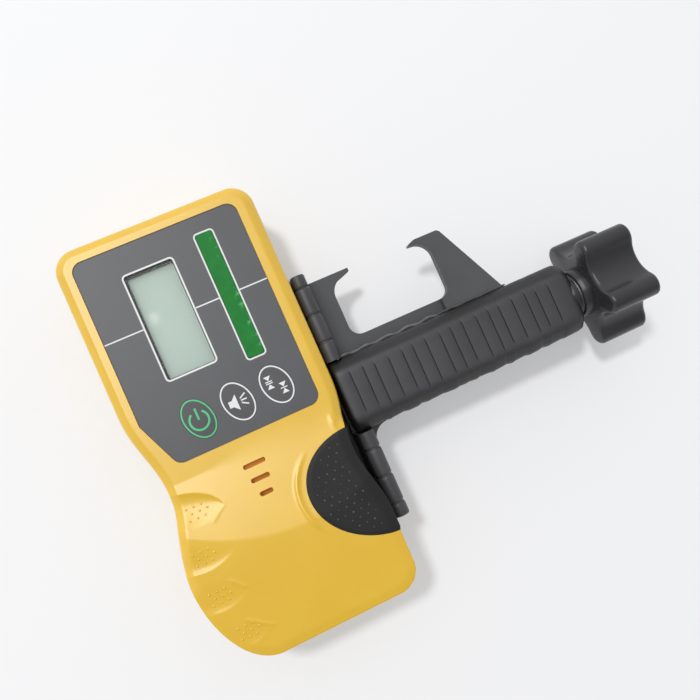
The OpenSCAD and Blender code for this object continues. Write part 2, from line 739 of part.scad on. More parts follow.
module arm_screws() color("#9a9c9e") for (p = arm_screw_places)
    translate([p.x, p.y, arm_screw_sink - arm_screw_head_h])
        screw(arm_screw_r, z_arm - arm_screw_sink + arm_screw_bite, arm_screw_head_r, arm_screw_head_h);

// Fixed jaw: a horn beside the bar and a rail under the rod seat
jaw_x0 = bar_x1 + fit;
rail_short = 2;
rail_end = fin_x0 + fin_foot - rail_short;
seat_y = -seat_drop;
horn_y = seat_y + jaw_depth;
horn_tip = 8.9;
horn_r = 6.5;
horn_drop = 9;
horn_lip = 1.4;
jaw_fillet = 4.5;
rail_y = arm_side - rail_in;
module fixed_jaw() color("#5a5c5f") translate([0, 0, fixed_z]) difference() {
    linear_extrude(jaw_t) {
        polygon(concat(
            [[rail_end, rail_y], [rail_end, seat_y]],
            arc([jaw_face + jaw_fillet, seat_y + jaw_fillet], jaw_fillet, 270, 180),
            arc([jaw_face + horn_r, horn_y - horn_drop], horn_r, 180, 100),
            [[jaw_face + horn_tip, horn_y - horn_lip], [jaw_face + horn_tip, horn_y]],
            [[jaw_x0, horn_y], [jaw_x0, rail_y]]));
        translate([root_tongue_x0, arm_side - root_tongue_in])
            square([root_tongue_x1 - root_tongue_x0, root_tongue_in]);
    }
    for (p = jaw_bolt_places) translate([p.x, p.y, -over])
        cylinder(r = jaw_bolt_r + slip, h = jaw_t + 2 * over);
}
module fixed_jaw_screws() color("#9a9c9e") for (p = jaw_bolt_places) translate([p.x, p.y, z_arm + slip])
    screw(jaw_bolt_r, fixed_z + jaw_t - z_arm - jaw_bolt_head_h + jaw_bolt_bite, jaw_bolt_head_r,
        jaw_bolt_head_h);

// Sliding jaw: a fin with a hook, whose foot runs in the arm's slot
fin_y = arm_side + loose;
hook_reach = 7.8;
hook_slope = 3;
hook_h = 1.8;
nip = 0.8;
fin_top = 6.2;
fin_low = 0.6;
fin_y1 = horn_y - fin_low;
car_l = 17;
car_in = 1.5;
car_x0 = fin_x0 + car_in;
nut_wall = 2.1;
nut_r = screw_r + nut_wall;
nut_l = 12;
foot_gap = 0.6;
foot_in = nut_r + foot_gap;
car_w = cavity_w - 2 * loose;
car_h = cavity_h - 2 * loose;
fin_bolt_r = 1;
fin_bolt_in = 4;
fin_bolt_y = (foot_in + car_w / 2) / 2 - arm_drop;
fin_bolt_places = [for (x = [fin_bolt_in, car_l - fin_bolt_in]) [car_x0 + x, fin_bolt_y]];
fin_bolt_foot = 0.4;
fin_bolt_bite = 1;
module sliding_jaw() color("#5a5c5f") translate([0, 0, jaw_z]) difference() {
    linear_extrude(jaw_t) {
        polygon(concat(
            [[fin_x0 - toe_w, fin_y], [fin_x0 + fin_foot, fin_y]],
            [[fin_x0 + fin_top, fin_y1 - nip], [fin_x0 + fin_top - 1.5 * nip, fin_y1]],
            [[fin_x0 - hook_reach + hook_slope, fin_y1]],
            [[fin_x0 - hook_reach + nip / 2, fin_y1 - hook_h + nip], [fin_x0 - hook_reach, fin_y1 - hook_h]],
            arc([fin_x0 - horn_r, horn_y - horn_drop], horn_r, 75, 0),
            arc([fin_x0 - toe_w, seat_y + toe_w], toe_w, 360, 270)));
        translate([car_x0, -arm_drop + foot_in]) square([car_l, fin_y + arm_drop - foot_in + over]);
    }
    for (p = fin_bolt_places) translate([p.x, p.y, -over])
        cylinder(r = fin_bolt_r + fit, h = jaw_t + 2 * over);
}
module jaw_carriage() color("#2c2c2e") difference() {
    along_x(car_x0, car_x0 + car_l) square([car_w, car_h], center = true);
    on_axis() bar_x(screw_r + loose, car_x0 - over, car_x0 + car_l + over);
    on_axis() bar_x(nut_r + fit, car_x0 + (car_l - nut_l) / 2 - fit, car_x0 + car_l + over);
    translate([car_x0 - over, -arm_drop + foot_in - fit, jaw_z - fit])
        cube([car_l + 2 * over, arm_w, jaw_t + 2 * fit]);
    for (p = fin_bolt_places) translate([p.x, p.y, axis_z - arm_h])
        cylinder(r = fin_bolt_r + fit, h = arm_h + jaw_t);
}
module jaw_screws() color("#9a9c9e") for (p = fin_bolt_places)
    translate([p.x, p.y, axis_z - car_h / 2 + fin_bolt_foot])
        cylinder(r = fin_bolt_r, h = car_h / 2 + jaw_t / 2 + fin_bolt_bite);
module carriage_nut() color("#b8934a") on_axis() difference() {
    bar_x(nut_r, car_x0 + (car_l - nut_l) / 2, car_x0 + (car_l + nut_l) / 2);
    bar_x(screw_r + fit, car_x0 - over, car_x0 + car_l + over);
}

// Lead screw, its bearing and the knob
ring_t = 1;
plug_l = 4.5;
collar_l = 3.5;
collar_r = 9.6;
washer_t = 0.8;
washer_in = 1;
x_plug = arm_end - plug_l;
x_collar = arm_end + collar_l;
x_hub = x_collar + washer_t + 2 * fit;
hub_l = 3.6;
hub_r = 10;
x_lobes = x_hub + hub_l;
x_knob = x_lobes + knob_l;
x_ring = x_plug - fit - ring_t;
ring_groove = 0.8;
ring_w = 1.8;
knob_insert_r = 7;
knob_insert_l = 16;
tail_r = 1.9;
tail_l = 9;
module lead_screw() color("#a4a6a8") on_axis() difference() {
    union() {
        bar_x(pilot_r, root_end - pilot_l, root_end + loose);
        bar_x(screw_r, root_end + loose, x_ring - fit);
        bar_x(screw_r - ring_groove, root_end + loose, x_plug);
        bar_x(screw_r, x_ring + ring_t + fit, x_hub + knob_insert_l - fit);
    }
    bar_x(tail_r + fit, x_hub + knob_insert_l - tail_l, x_knob);
}
module end_cap() color("#1e1e20") difference() {
    union() {
        along_x(x_plug, arm_end) square([cavity_w - 2 * slip, cavity_h - 2 * slip], center = true);
        on_axis() bar_x(collar_r, arm_end, x_collar);
    }
    on_axis() bar_x(screw_r + fit, x_plug - over, x_collar + over);
}
module retaining_ring() color("#8e9092") on_axis() difference() {
    bar_x(screw_r + ring_w, x_ring, x_ring + ring_t);
    bar_x(screw_r - ring_groove + fit, x_ring - over, x_ring + ring_t + over);
    translate([x_ring - over, ring_groove - screw_r, -3 * screw_r])
        cube([ring_t + 2 * over, 2 * (screw_r - ring_groove), 3 * screw_r]);
}
module thrust_washer() color("#c8c8c4") on_axis() difference() {
    bar_x(collar_r - washer_in, x_collar + fit, x_collar + fit + washer_t);
    bar_x(screw_r + fit, x_collar - over, x_hub + over);
}

lobe_n = 5;
lobe_c = knob_r - lobe_r;
lobe_ax = lobe_c * cos(180 / lobe_n);
lobe_ay = lobe_c * sin(180 / lobe_n);
dish_room = hollow_r - lobe_ax;
dish_r = (pow(lobe_ay, 2) + pow(dish_room, 2) - pow(lobe_r, 2)) / (2 * (lobe_r - dish_room));
dish_c = hollow_r + dish_r;
lobe_a = 180 / lobe_n + atan2(lobe_ay, dish_c - lobe_ax);
dish_a = atan2(lobe_ay, dish_c - lobe_ax);
knob_edge = 2.4;
// Outline of the knob: round lobes joined by round hollows that meet them smoothly
function turn(p, a) = [p.x * cos(a) - p.y * sin(a), p.x * sin(a) + p.y * cos(a)];
star_outline = [for (k = [0:lobe_n - 1]) each [
    for (p = concat(
        arc([lobe_c, 0], lobe_r, -lobe_a, lobe_a, 14),
        [for (q = arc([dish_c, 0], dish_r, 180 + dish_a, 180 - dish_a, 10)) turn(q, 180 / lobe_n)]))
        turn(p, k * 360 / lobe_n)]];
module star_knob() color("#353538") on_axis() difference() {
    union() {
        bar_x(hub_r, x_hub, x_lobes + over);
        intersection() {
            translate([x_lobes, 0, 0]) rotate([0, 90, 0]) rotate(180 - knob_phase) linear_extrude(knob_l)
                polygon(star_outline);
            translate([x_lobes, 0, 0]) rotate([0, 90, 0]) rotate_extrude() polygon(concat(
                [[0, 0]],
                arc([knob_r - knob_edge, knob_edge], knob_edge, -90, 0),
                arc([knob_r - knob_edge, knob_l - knob_edge], knob_edge, 0, 90),
                [[0, knob_l]]));
        }
    }
    bar_x(knob_insert_r + fit, x_hub - over, x_hub + knob_insert_l);
    bar_x(tail_r + slip, x_hub, x_knob + over);
    bar_x(knob_screw_r + slip, x_knob - knob_screw_h - slip, x_knob + over);
}
module knob_insert() color("#b8934a") on_axis() difference() {
    bar_x(knob_insert_r, x_hub + fit, x_hub + knob_insert_l - fit);
    bar_x(screw_r + fit, x_hub - over, x_knob);
}
knob_screw_r = 3.8;
knob_screw_h = 2;
cross_w = 1;
cross_l = 6;
cross_depth = 1.2;
module knob_screw() color("#8e9092") on_axis() difference() {
    union() {
        bar_x(tail_r, x_hub + knob_insert_l - tail_l + slip, x_knob - knob_screw_h);
        bar_x(knob_screw_r, x_knob - knob_screw_h - fit, x_knob - fit);
    }
    translate([x_knob, 0, 0]) {
        cube([2 * cross_depth, cross_w, cross_l], center = true);
        cube([2 * cross_depth, cross_l, cross_w], center = true);
    }
}

front_shell();
rear_shell();
case_seal();
case_screws();
panel_overlay();
lcd_window();
lcd_module();
sensor_window();
sensor_board();
photodiodes();
main_board();
board_screws();
power_key();
sound_key();
precision_key();
key_switches();
buzzer();
battery_cells();
battery_contacts();
battery_door();
side_grip();
mount_insert();
bracket_frame();
bracket_screw();
screw_retainer();
arm_housing();
arm_screws();
fixed_jaw();
fixed_jaw_screws();
sliding_jaw();
jaw_carriage();
carriage_nut();
jaw_screws();
lead_screw();
end_cap();
retaining_ring();
thrust_washer();
star_knob();
knob_insert();
knob_screw();
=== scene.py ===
import json

import bmesh
import bpy
import numpy as np
from mathutils import Matrix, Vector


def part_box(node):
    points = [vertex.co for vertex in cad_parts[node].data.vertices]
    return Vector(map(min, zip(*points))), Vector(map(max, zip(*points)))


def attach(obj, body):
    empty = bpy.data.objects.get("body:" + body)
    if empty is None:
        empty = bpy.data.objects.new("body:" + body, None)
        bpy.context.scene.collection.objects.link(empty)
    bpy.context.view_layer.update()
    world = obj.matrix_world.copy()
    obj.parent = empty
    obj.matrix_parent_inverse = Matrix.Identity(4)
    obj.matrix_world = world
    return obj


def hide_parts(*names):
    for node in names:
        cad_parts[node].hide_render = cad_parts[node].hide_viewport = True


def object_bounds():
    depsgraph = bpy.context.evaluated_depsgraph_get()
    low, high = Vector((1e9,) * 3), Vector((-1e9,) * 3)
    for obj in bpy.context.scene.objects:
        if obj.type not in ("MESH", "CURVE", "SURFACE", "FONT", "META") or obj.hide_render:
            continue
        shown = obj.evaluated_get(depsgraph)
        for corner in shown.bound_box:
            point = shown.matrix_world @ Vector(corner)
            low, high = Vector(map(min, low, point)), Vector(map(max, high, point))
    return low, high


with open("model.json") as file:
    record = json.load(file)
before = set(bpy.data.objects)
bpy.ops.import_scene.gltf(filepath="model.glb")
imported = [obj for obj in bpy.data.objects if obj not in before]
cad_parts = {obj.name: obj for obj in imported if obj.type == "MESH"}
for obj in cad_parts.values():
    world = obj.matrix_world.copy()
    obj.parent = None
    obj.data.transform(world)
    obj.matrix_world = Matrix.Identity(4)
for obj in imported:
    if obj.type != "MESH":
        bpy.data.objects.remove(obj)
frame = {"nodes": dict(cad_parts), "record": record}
cad_box = [list(corner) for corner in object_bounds()]

# Viewpoint: a hand-held camera above the receiver's front, turned so that the receiver's top leans left.
# Its place and its three axes are in the part's frame, in metres, and the image is square.
camera_place = (0.01024, -0.04117, 0.30253)
camera_right = (0.90528, -0.40706, 0.12157)
camera_down = (-0.40092, -0.91325, -0.07240)
camera_ahead = (0.14049, 0.01681, -0.98994)
camera_data = bpy.data.cameras.new("camera")
camera_data.sensor_width = 36
camera_data.lens = 37.54
camera = bpy.data.objects.new("camera", camera_data)
camera_axes = np.array([camera_right, camera_down, camera_ahead]).T * [1, -1, -1]
camera.matrix_world = Matrix.Translation(camera_place) @ Matrix(camera_axes.tolist()).to_4x4()
bpy.context.collection.objects.link(camera)
bpy.context.scene.camera = camera
bpy.context.scene.view_settings.view_transform = "Standard"

# Table: a wide sheet of smooth pale card under the bracket's plate.
# It carries the part's shadow and the white surround, and glows a little where it is seen or mirrored.
floor_drop, floor_reach = 0.0002, 1.6
floor_pale, floor_rough, floor_shine, floor_glow = (0.88, 0.885, 0.9, 1), 0.75, 0.2, 0.36


def feed(tree, node, sockets):
    """Gives each named socket of a node its value, or a link from another node's output."""
    for name, source in sockets.items():
        if isinstance(source, bpy.types.NodeSocket):
            tree.links.new(source, node.inputs[name])
        else:
            node.inputs[name].default_value = source


def add_node(tree, kind, sockets):
    """A new shader node of a kind, with its sockets fed."""
    node = tree.nodes.new("ShaderNode" + kind)
    feed(tree, node, sockets)
    return node


def worked_out(tree, operation, a, b):
    """Output of a math node on two values or outputs."""
    node = add_node(tree, "Math", {0: a, 1: b})
    node.operation = operation
    return node.outputs["Value"]


floor_mesh = bpy.data.meshes.new("floor")
floor_z = cad_box[0][2] - floor_drop
floor_signs = ((-1, -1), (1, -1), (1, 1), (-1, 1))
floor_corners = [(sx * floor_reach, sy * floor_reach, floor_z) for sx, sy in floor_signs]
floor_mesh.from_pydata(floor_corners, [], [(0, 1, 2, 3)])
floor = bpy.data.objects.new("floor", floor_mesh)
bpy.context.collection.objects.link(floor)
card = bpy.data.materials.new("pale card")
card.use_nodes = True
card_tree = card.node_tree
card_shader = card_tree.nodes["Principled BSDF"]
feed(card_tree, card_shader, {"Base Color": floor_pale, "Roughness": floor_rough, "Specular IOR Level": floor_shine})
card_pale = add_node(card_tree, "Emission", {"Color": floor_pale})
card_ray = add_node(card_tree, "LightPath", {}).outputs
card_seen = worked_out(card_tree, "MAXIMUM", card_ray["Is Camera Ray"], card_ray["Is Glossy Ray"])
card_seen = worked_out(card_tree, "MAXIMUM", card_seen, card_ray["Is Transmission Ray"])
card_mix = add_node(card_tree, "MixShader", {
    "Fac": worked_out(card_tree, "MULTIPLY", card_seen, floor_glow),
    1: card_shader.outputs["BSDF"], 2: card_pale.outputs["Emission"]})
feed(card_tree, card_tree.nodes["Material Output"], {"Surface": card_mix.outputs["Shader"]})
floor_mesh.materials.append(card)

# Light: one large softbox above and to the upper left, a small ceiling lamp and a room with pale walls, whose ceiling
# is darker towards the bottom of the view. The floor has a smaller lamp in the softbox's stead, for crisper shadows.
# The softbox's near edge stops over the crease, so the ramp mirrors it and the palm below the crest doesn't.
softbox_height, softbox_radiance = 4.0, 3.55
softbox_x0, softbox_x1 = -3.2, 0.0
softbox_y0, softbox_y1 = 0.12, 4.6
ceiling_place, ceiling_across, ceiling_light = (-0.178, 0.327, 2.03), 0.03, 0.007
shadow_place, shadow_across, shadow_light = (-0.5, 0.8, 2.0), 0.3, 0.5 * np.pi
room_dark, room_light, room_wall = 0.2, 0.9, 0.85
wall_foot, wall_head = 0.15, 0.5


def area_lamp(name, place, sides, watts):
    """A lamp that faces down: a rectangle with the two sides given, or a disk as wide as the one given."""
    data = bpy.data.lights.new(name, "AREA")
    data.shape = "RECTANGLE" if len(sides) == 2 else "DISK"
    data.size, data.size_y = sides[0], sides[-1]
    data.energy = watts
    lamp = bpy.data.objects.new(name, data)
    lamp.location = place
    bpy.context.collection.objects.link(lamp)
    return lamp


softbox_place = ((softbox_x0 + softbox_x1) / 2, (softbox_y0 + softbox_y1) / 2, softbox_height)
softbox_sides = (softbox_x1 - softbox_x0, softbox_y1 - softbox_y0)
softbox = area_lamp("softbox", softbox_place, softbox_sides, softbox_radiance * np.pi * np.prod(softbox_sides))
area_lamp("ceiling_lamp", ceiling_place, (ceiling_across,), ceiling_light * np.pi * ceiling_place[2] ** 2)
shadow_watts = shadow_light * np.pi * np.dot(shadow_place, shadow_place) ** 2 / shadow_place[2] ** 2
floor_lamp = area_lamp("floor_lamp", shadow_place, (shadow_across,), shadow_watts)
for lamp, state in ((softbox, "EXCLUDE"), (floor_lamp, "INCLUDE")):
    receivers = bpy.data.collections.new(lamp.name + "_receivers")
    receivers.objects.link(floor)
    receivers.collection_objects[0].light_linking.link_state = state
    lamp.light_linking.receiver_collection = receivers
world = bpy.data.worlds.new("room")
bpy.context.scene.world = world
world.use_nodes = True
room = world.node_tree
room_place = add_node(room, "TexCoord", {})
room_axes = add_node(room, "SeparateXYZ", {"Vector": room_place.outputs["Generated"]})
room_ceiling = add_node(room, "MapRange", {
    "Value": room_axes.outputs["Y"], "From Min": -1, "From Max": 1, "To Min": room_dark, "To Max": room_light})
room_level = add_node(room, "MapRange", {
    "Value": room_axes.outputs["Z"], "From Min": wall_foot, "From Max": wall_head,
    "To Min": room_wall, "To Max": room_ceiling.outputs["Result"]})
feed(room, room.nodes["Background"], {"Color": (1, 1, 1, 1), "Strength": room_level.outputs["Result"]})

# Rear shell: the back half of the yellow case, injection moulded in satin plastic, 2.2 mm thick.
# Four screws from behind pull it to the front shell, and the battery door runs in its two rails.


def corners(node):
    """Lowest and highest corner of a CAD node, in millimetres."""
    low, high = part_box(node)
    return np.array(low) * 1000, np.array(high) * 1000


def linear(red, green, blue):
    """A colour given in display values from 0 to 255, as linear light."""
    c = np.array([red, green, blue]) / 255
    return (*np.where(c > 0.04045, ((c + 0.055) / 1.055) ** 2.4, c / 12.92), 1)


def grid_faces(rows, cols, closed=False):
    """Four-sided faces of a grid stored row by row; closed joins the last column to the first."""
    r = np.arange(rows - 1)[:, None] * cols
    c = np.arange(cols if closed else cols - 1)[None, :]
    n = (c + 1) % cols
    return np.stack([r + c, r + n, r + cols + n, r + cols + c], -1).reshape(-1, 4)


def placed(name, mesh):
    """An object at the origin for a mesh."""
    piece = bpy.data.objects.new(name, mesh)
    bpy.context.collection.objects.link(piece)
    return piece


def put(name, points, faces):
    """A mesh from points in millimetres and lists of corners, its doubles merged and its faces turned outwards."""
    mesh = bpy.data.meshes.new(name)
    mesh.from_pydata((np.asarray(points, float).reshape(-1, 3) / 1000).tolist(), [], faces)
    shaper = bmesh.new()
    shaper.from_mesh(mesh)
    bmesh.ops.remove_doubles(shaper, verts=shaper.verts, dist=1e-7)
    bmesh.ops.recalc_face_normals(shaper, faces=shaper.faces)
    shaper.to_mesh(mesh)
    shaper.free()
    return placed(name, mesh)


def level(outline, z):
    """A flat outline as points at one height."""
    return np.c_[outline, np.full(len(outline), z)]


def loft(rings):
    """Points and faces of a closed skin through rings of equal count, each end closed by one flat face."""
    rings = np.asarray(rings, float)
    count, around = rings.shape[:2]
    faces = grid_faces(count, around, True).tolist()
    faces += [list(range(around)), list(range((count - 1) * around, count * around))]
    return rings.reshape(-1, 3), faces


def joined(solids):
    """Several lots of points and faces as one."""
    points, faces = [], []
    for some, sides in solids:
        faces += [[corner + len(points) for corner in side] for side in sides]
        points += np.asarray(some).tolist()
    return points, faces


def prisms(outlines, z0, z1):
    """Points and faces of upright prisms over flat outlines, each given as an array of x and y."""
    return joined([loft([level(outline, z) for z in (z0, z1)]) for outline in outlines])


def cut(piece, points, faces):
    """Takes closed solids out of a piece with an exact difference."""
    tool = put("cutter", points, faces)
    knife = piece.modifiers.new("cut", "BOOLEAN")
    knife.operation = "DIFFERENCE"
    knife.solver = "EXACT"
    knife.object = tool
    shaped = bpy.data.meshes.new_from_object(piece.evaluated_get(bpy.context.evaluated_depsgraph_get()))
    piece.modifiers.clear()
    piece.data = shaped
    shaped.name = piece.name
    bpy.data.objects.remove(tool)


def dress(node, material):
    """Gives a CAD node its finish; its mesh, its place and its body stay as they are."""
    skin = frame["nodes"][node].data
    skin.materials.clear()
    skin.materials.append(material)


def finish(piece, material, body, slot, *nodes, sharp=35):
    """Gives a piece its material, its body and the nodes that it stands for, and shades it smooth but for edges over
    sharp degrees. slot is not used."""
    piece.data.materials.clear()
    piece.data.materials.append(material)
    piece.data.shade_smooth()
    piece.data.set_sharp_from_angle(angle=np.radians(sharp))
    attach(piece, body)
    if nodes:
        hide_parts(*nodes)


def arc(centre, radius, start, stop, steps=10):
    """Points on a circle from one angle to another, in degrees."""
    turn = np.radians(np.linspace(start, stop, steps + 1))
    return np.c_[centre[0] + radius * np.cos(turn), centre[1] + radius * np.sin(turn)]


def circle(centre, radius, count):
    """A whole circle as a count of points."""
    return arc(centre, radius, 0, 360 - 360 / count, count - 1)


def rounded(x, y, width, length, radius, steps=6):
    """Outline of a rectangle about a centre, with round corners."""
    w, l = width / 2 - radius, length / 2 - radius
    quarters = [(w, l, 0), (-w, l, 90), (-w, -l, 180), (w, -l, 270)]
    return np.vstack([arc((x + a, y + b), radius, turn, turn + 90, steps) for a, b, turn in quarters])


def grain_group():
    """Fine moulding grain as a height, and a broad unevenness as a mask, both from the piece's own place."""
    group = bpy.data.node_groups.new("moulding grain", "ShaderNodeTree")
    for socket in ("Grain", "Broad"):
        group.interface.new_socket(socket, in_out="INPUT", socket_type="NodeSocketFloat")
    for socket in ("Height", "Unevenness"):
        group.interface.new_socket(socket, in_out="OUTPUT", socket_type="NodeSocketFloat")
    taken, given = group.nodes.new("NodeGroupInput"), group.nodes.new("NodeGroupOutput")
    place = add_node(group, "TexCoord", {})
    for scale, result, detail in (("Grain", "Height", 4.0), ("Broad", "Unevenness", 3.0)):
        noise = add_node(group, "TexNoise", {
            "Vector": place.outputs["Object"], "Scale": taken.outputs[scale], "Detail": detail})
        feed(group, given, {result: noise.outputs["Fac"]})
    return group


moulding_grain = grain_group()


def adjust(material, sockets):
    """Feeds more sockets of a finish's shader."""
    feed(material.node_tree, material.node_tree.nodes["Principled BSDF"], sockets)


def moulded(name, light, dark, smooth, rough, grain, depth, broad=60, ior=1.5):
    """A moulded finish: two near colours and a span of roughness mixed by the unevenness, and a grain of real depth
    in metres."""
    material = bpy.data.materials.new(name)
    material.use_nodes = True
    tree = material.node_tree
    texture = tree.nodes.new("ShaderNodeGroup")
    texture.node_tree = moulding_grain
    feed(tree, texture, {"Grain": grain, "Broad": broad})
    uneven = texture.outputs["Unevenness"]
    tint = add_node(tree, "ValToRGB", {"Fac": uneven})
    for stop, place, colour in zip(tint.color_ramp.elements, (0.3, 0.7), (dark, light)):
        stop.position, stop.color = place, colour
    gloss = add_node(tree, "MapRange", {"Value": uneven, "To Min": smooth, "To Max": rough})
    bump = add_node(tree, "Bump", {"Height": texture.outputs["Height"], "Strength": 1.0, "Distance": depth})
    adjust(material, {"Base Color": tint.outputs["Color"], "Roughness": gloss.outputs["Result"],
                      "Normal": bump.outputs["Normal"], "IOR": ior})
    return material


yellow_plastic = moulded("yellow plastic", linear(230, 186, 40), linear(227, 181, 34), 0.3, 0.4, 2600, 4e-6)
adjust(yellow_plastic, {"Coat Weight": 1.0, "Coat Roughness": 0.27, "Coat IOR": 1.6})

front_low, front_high = corners("front_shell")
case_w = front_high[0] - front_low[0]
y_bottom, y_top = front_low[1], front_high[1]
z_split, z_back = front_low[2], corners("rear_shell")[0][2]
corner_r, heel_w, heel_l, toe_r = 8.5, 21.0, 35.3, 9.0
below_panel = 1.0
y_corner, y_heel = y_top - corner_r, y_bottom + heel_l
y_below = corners("panel_overlay")[0][1] - below_panel
waist_left, y_waist_left, span_left = 5.5, -58.0, 32.0
waist_right, y_waist_right, span_right = 4.0, -70.0, 26.0


def dip(t):
    """A smooth hollow: one at the middle, falling as a cosine to nothing at one span away."""
    return np.where(np.abs(t) < 1, (1 + np.cos(np.pi * t)) / 2, 0)


def rise(t):
    """A smooth step from 0 to 1 as t goes from 0 to 1."""
    t = np.clip(t, 0, 1)
    return t * t * (3 - 2 * t)


def fall_away(r, t):
    """How far a circle of radius r has turned away from its tangent at a distance t along it."""
    return r - np.sqrt(np.maximum(r * r - t * t, 0))


def left_side(y, d):
    """Left side of the case at height y, drawn in by d: straight, a waist, a round corner and an oval heel."""
    x = d - case_w / 2 + waist_left * dip((y - y_waist_left) / span_left)
    x = x + np.where(y > y_corner, fall_away(corner_r - d, y - y_corner), 0)
    return x + np.where(y < y_heel, (heel_w - d) / (heel_l - d) * fall_away(heel_l - d, y - y_heel), 0)


def right_side(y, d):
    """Right side of the case at height y, drawn in by d: straight, a waist and two round corners."""
    x = case_w / 2 - d - waist_right * dip((y - y_waist_right) / span_right)
    x = x - np.where(y > y_corner, fall_away(corner_r - d, y - y_corner), 0)
    return x - np.where(y < y_bottom + toe_r, fall_away(toe_r - d, y - y_bottom - toe_r), 0)


def case_grid(d, rows, cols):
    """Points of the case's face drawn in by d: columns from left to right, and rows from the top edge to the bottom,
    with a count each for the corners, the part beside the panel, the waist and the heel."""
    corner_rows, panel_rows, waist_rows, heel_rows = rows
    turn = np.radians(np.linspace(90, 0, corner_rows))
    fall = np.radians(np.linspace(0, 90, heel_rows))
    y = np.concatenate([
        y_corner + (corner_r - d) * np.sin(turn),
        np.linspace(y_corner, y_below, panel_rows)[1:],
        np.linspace(y_below, y_heel, waist_rows)[1:],
        y_heel - (heel_l - d) * np.sin(fall)[1:]])
    across = np.linspace(0, 1, cols)
    left, right = left_side(y, d), right_side(y, d)
    return np.stack([left[:, None] + (right - left)[:, None] * across, np.repeat(y[:, None], cols, 1)], -1)


def border(rows, cols):
    """Indices of a grid's border, down the left side, along the bottom, up the right side and back along the top."""
    index = np.arange(rows * cols).reshape(rows, cols)
    return np.concatenate([index[:-1, 0], index[-1, :-1], index[:0:-1, -1], index[0, :0:-1]])


def case_half(edge, height, rows, cols):
    """Half of the case: a face grid, then the same border at each (inset, height) of the edge profile out to the
    split, which one flat face closes. height gives z from x, y and the profile's height."""
    d, z = edge[0]
    face = case_grid(d, rows, cols)
    count = face.shape[:2]
    around = border(*count)
    points = [np.dstack([face, height(face[..., 0], face[..., 1], z)]).reshape(-1, 3)]
    faces = grid_faces(*count).tolist()
    last, base = around, count[0] * count[1]
    for d, z in edge[1:]:
        ring = case_grid(d, rows, cols).reshape(-1, 2)[around]
        points.append(np.c_[ring, height(ring[:, 0], ring[:, 1], z)])
        here = base + np.arange(len(around))
        faces += np.stack([last, np.roll(last, -1), np.roll(here, -1), here], -1).tolist()
        last, base = here, base + len(around)
    return np.vstack(points), faces + [last.tolist()]


edge_r, split_ease = 3.0, 0.25
edge_turn = np.radians(np.linspace(90, 0, 9))
rear_edge = [(edge_r * (1 - np.cos(a)), z_back + edge_r * (1 - np.sin(a))) for a in edge_turn]
rear_edge += [(0.0, z_split - split_ease), (split_ease, z_split)]
rear_rows, rear_cols = (10, 60, 60, 40), 24
rear_case = put("rear_case", *case_half(rear_edge, lambda x, y, z: np.full(np.shape(x), z), rear_rows, rear_cols))
door_low, door_high = corners("battery_door")
screws_low, screws_high = corners("case_screws")
y_bay = corners("battery_contacts")[0][1]
bay_roof, bay_r, back_wall, tongue_w, tongue_t = 1.5, 0.1, 2.6, 1.2, 0.8
head_r, head_points, head_deep, head_in, heel_in = 2.75, 45, 2.2, 2.6, 6.4
slip, loose, clear = 0.15, 0.3, 1.0
door_x, door_w = (door_low[0] + door_high[0]) / 2, door_high[0] - door_low[0] - 2 * tongue_w
tongue_z = (door_low[2] + door_high[2] - tongue_t) / 2


def bay_plan(y0, width):
    """Plan of the bay or its door's opening: a rectangle from y0 up to the door's upper end."""
    return rounded(door_x, (y0 + door_high[1] + loose) / 2, width, door_high[1] + loose - y0, bay_r)


door_plan = bay_plan(y_bottom - clear, door_w + 2 * slip)
tongue_plan = bay_plan(y_bottom - clear, door_w + 2 * tongue_w + 2 * loose)
cut(rear_case, *prisms([door_plan], z_back - clear, z_back + back_wall + loose))
cut(rear_case, *prisms([tongue_plan], tongue_z - slip, tongue_z + tongue_t + slip))
cut(rear_case, *prisms([bay_plan(y_bay - slip, door_w)], z_back + clear, z_split - bay_roof))
head_x0, head_x1 = screws_low[0] + head_in, screws_high[0] - head_in
head_y0, head_y1 = screws_low[1] + head_in, screws_high[1] - head_in
head_places = [(head_x0, head_y1), (head_x1, head_y1), (left_side(head_y0, heel_in), head_y0), (head_x1, head_y0)]
head_holes = [circle(place, head_r, head_points) for place in head_places]
cut(rear_case, *prisms(head_holes, z_back - clear, z_back + head_deep))
finish(rear_case, yellow_plastic, "receiver", "yellow_case", "rear_shell")

# Front shell: the front half of the case, in the same satin yellow plastic.
# A bevelled rim frames the panel; below it a crease starts the palm swell, with finger scallops on its left.
panel_low, panel_high = corners("panel_overlay")
z_panel, z_recess = panel_high[2], panel_low[2]
panel_sink = 0.4
z_front = z_panel + panel_sink
y_crease, y_crest, crest_bow, crest_x, swell_h = -55.5, -87.0, 0.0078, 9.0, 3.0
crease_sharp, crease_faint, crease_x, crease_span = 0.05, 0.45, -22.0, 30.0
fall_straight, fall_curved, crest_blend = 0.25, 0.45, 0.12
scallop_lips = -71.0 - 15.1 * np.arange(4)
scallop_forms = ((-15.8, 1.35, 1.0, 1.4, 0.6, 0.95), (-17.6, 0.64, 3.2, 0.9, 1.6, 0.7),
                 (-19.0, 0.4, 3.2, 0.9, 1.6, 0.45), (-17.5, 0.32, 3.2, 0.9, 1.6, 0.45))
scallop_upper, scallop_oval, scallop_end, scallop_sag, scallop_ease = 10.4, 0.6, 2.0, 1.8, 7.0
scallop_least = 0.01
brow_lines = (((-14.6, -67.4), (-22.6, -73.6), 0.07), ((-25.0, -92.8), (-19.0, -99.4), 0.18),
              ((-25.5, -108.0), (-15.5, -115.5), 0.18))
brow_w, brow_taper = 0.7, 2.5
grip_x, grip_y, grip_w, grip_half, grip_lean = 38.4, -82.9, 26.0, 21.1, 2.4
crescent_h, crescent_w, crescent_gap = 0.65, 0.8, 3.0
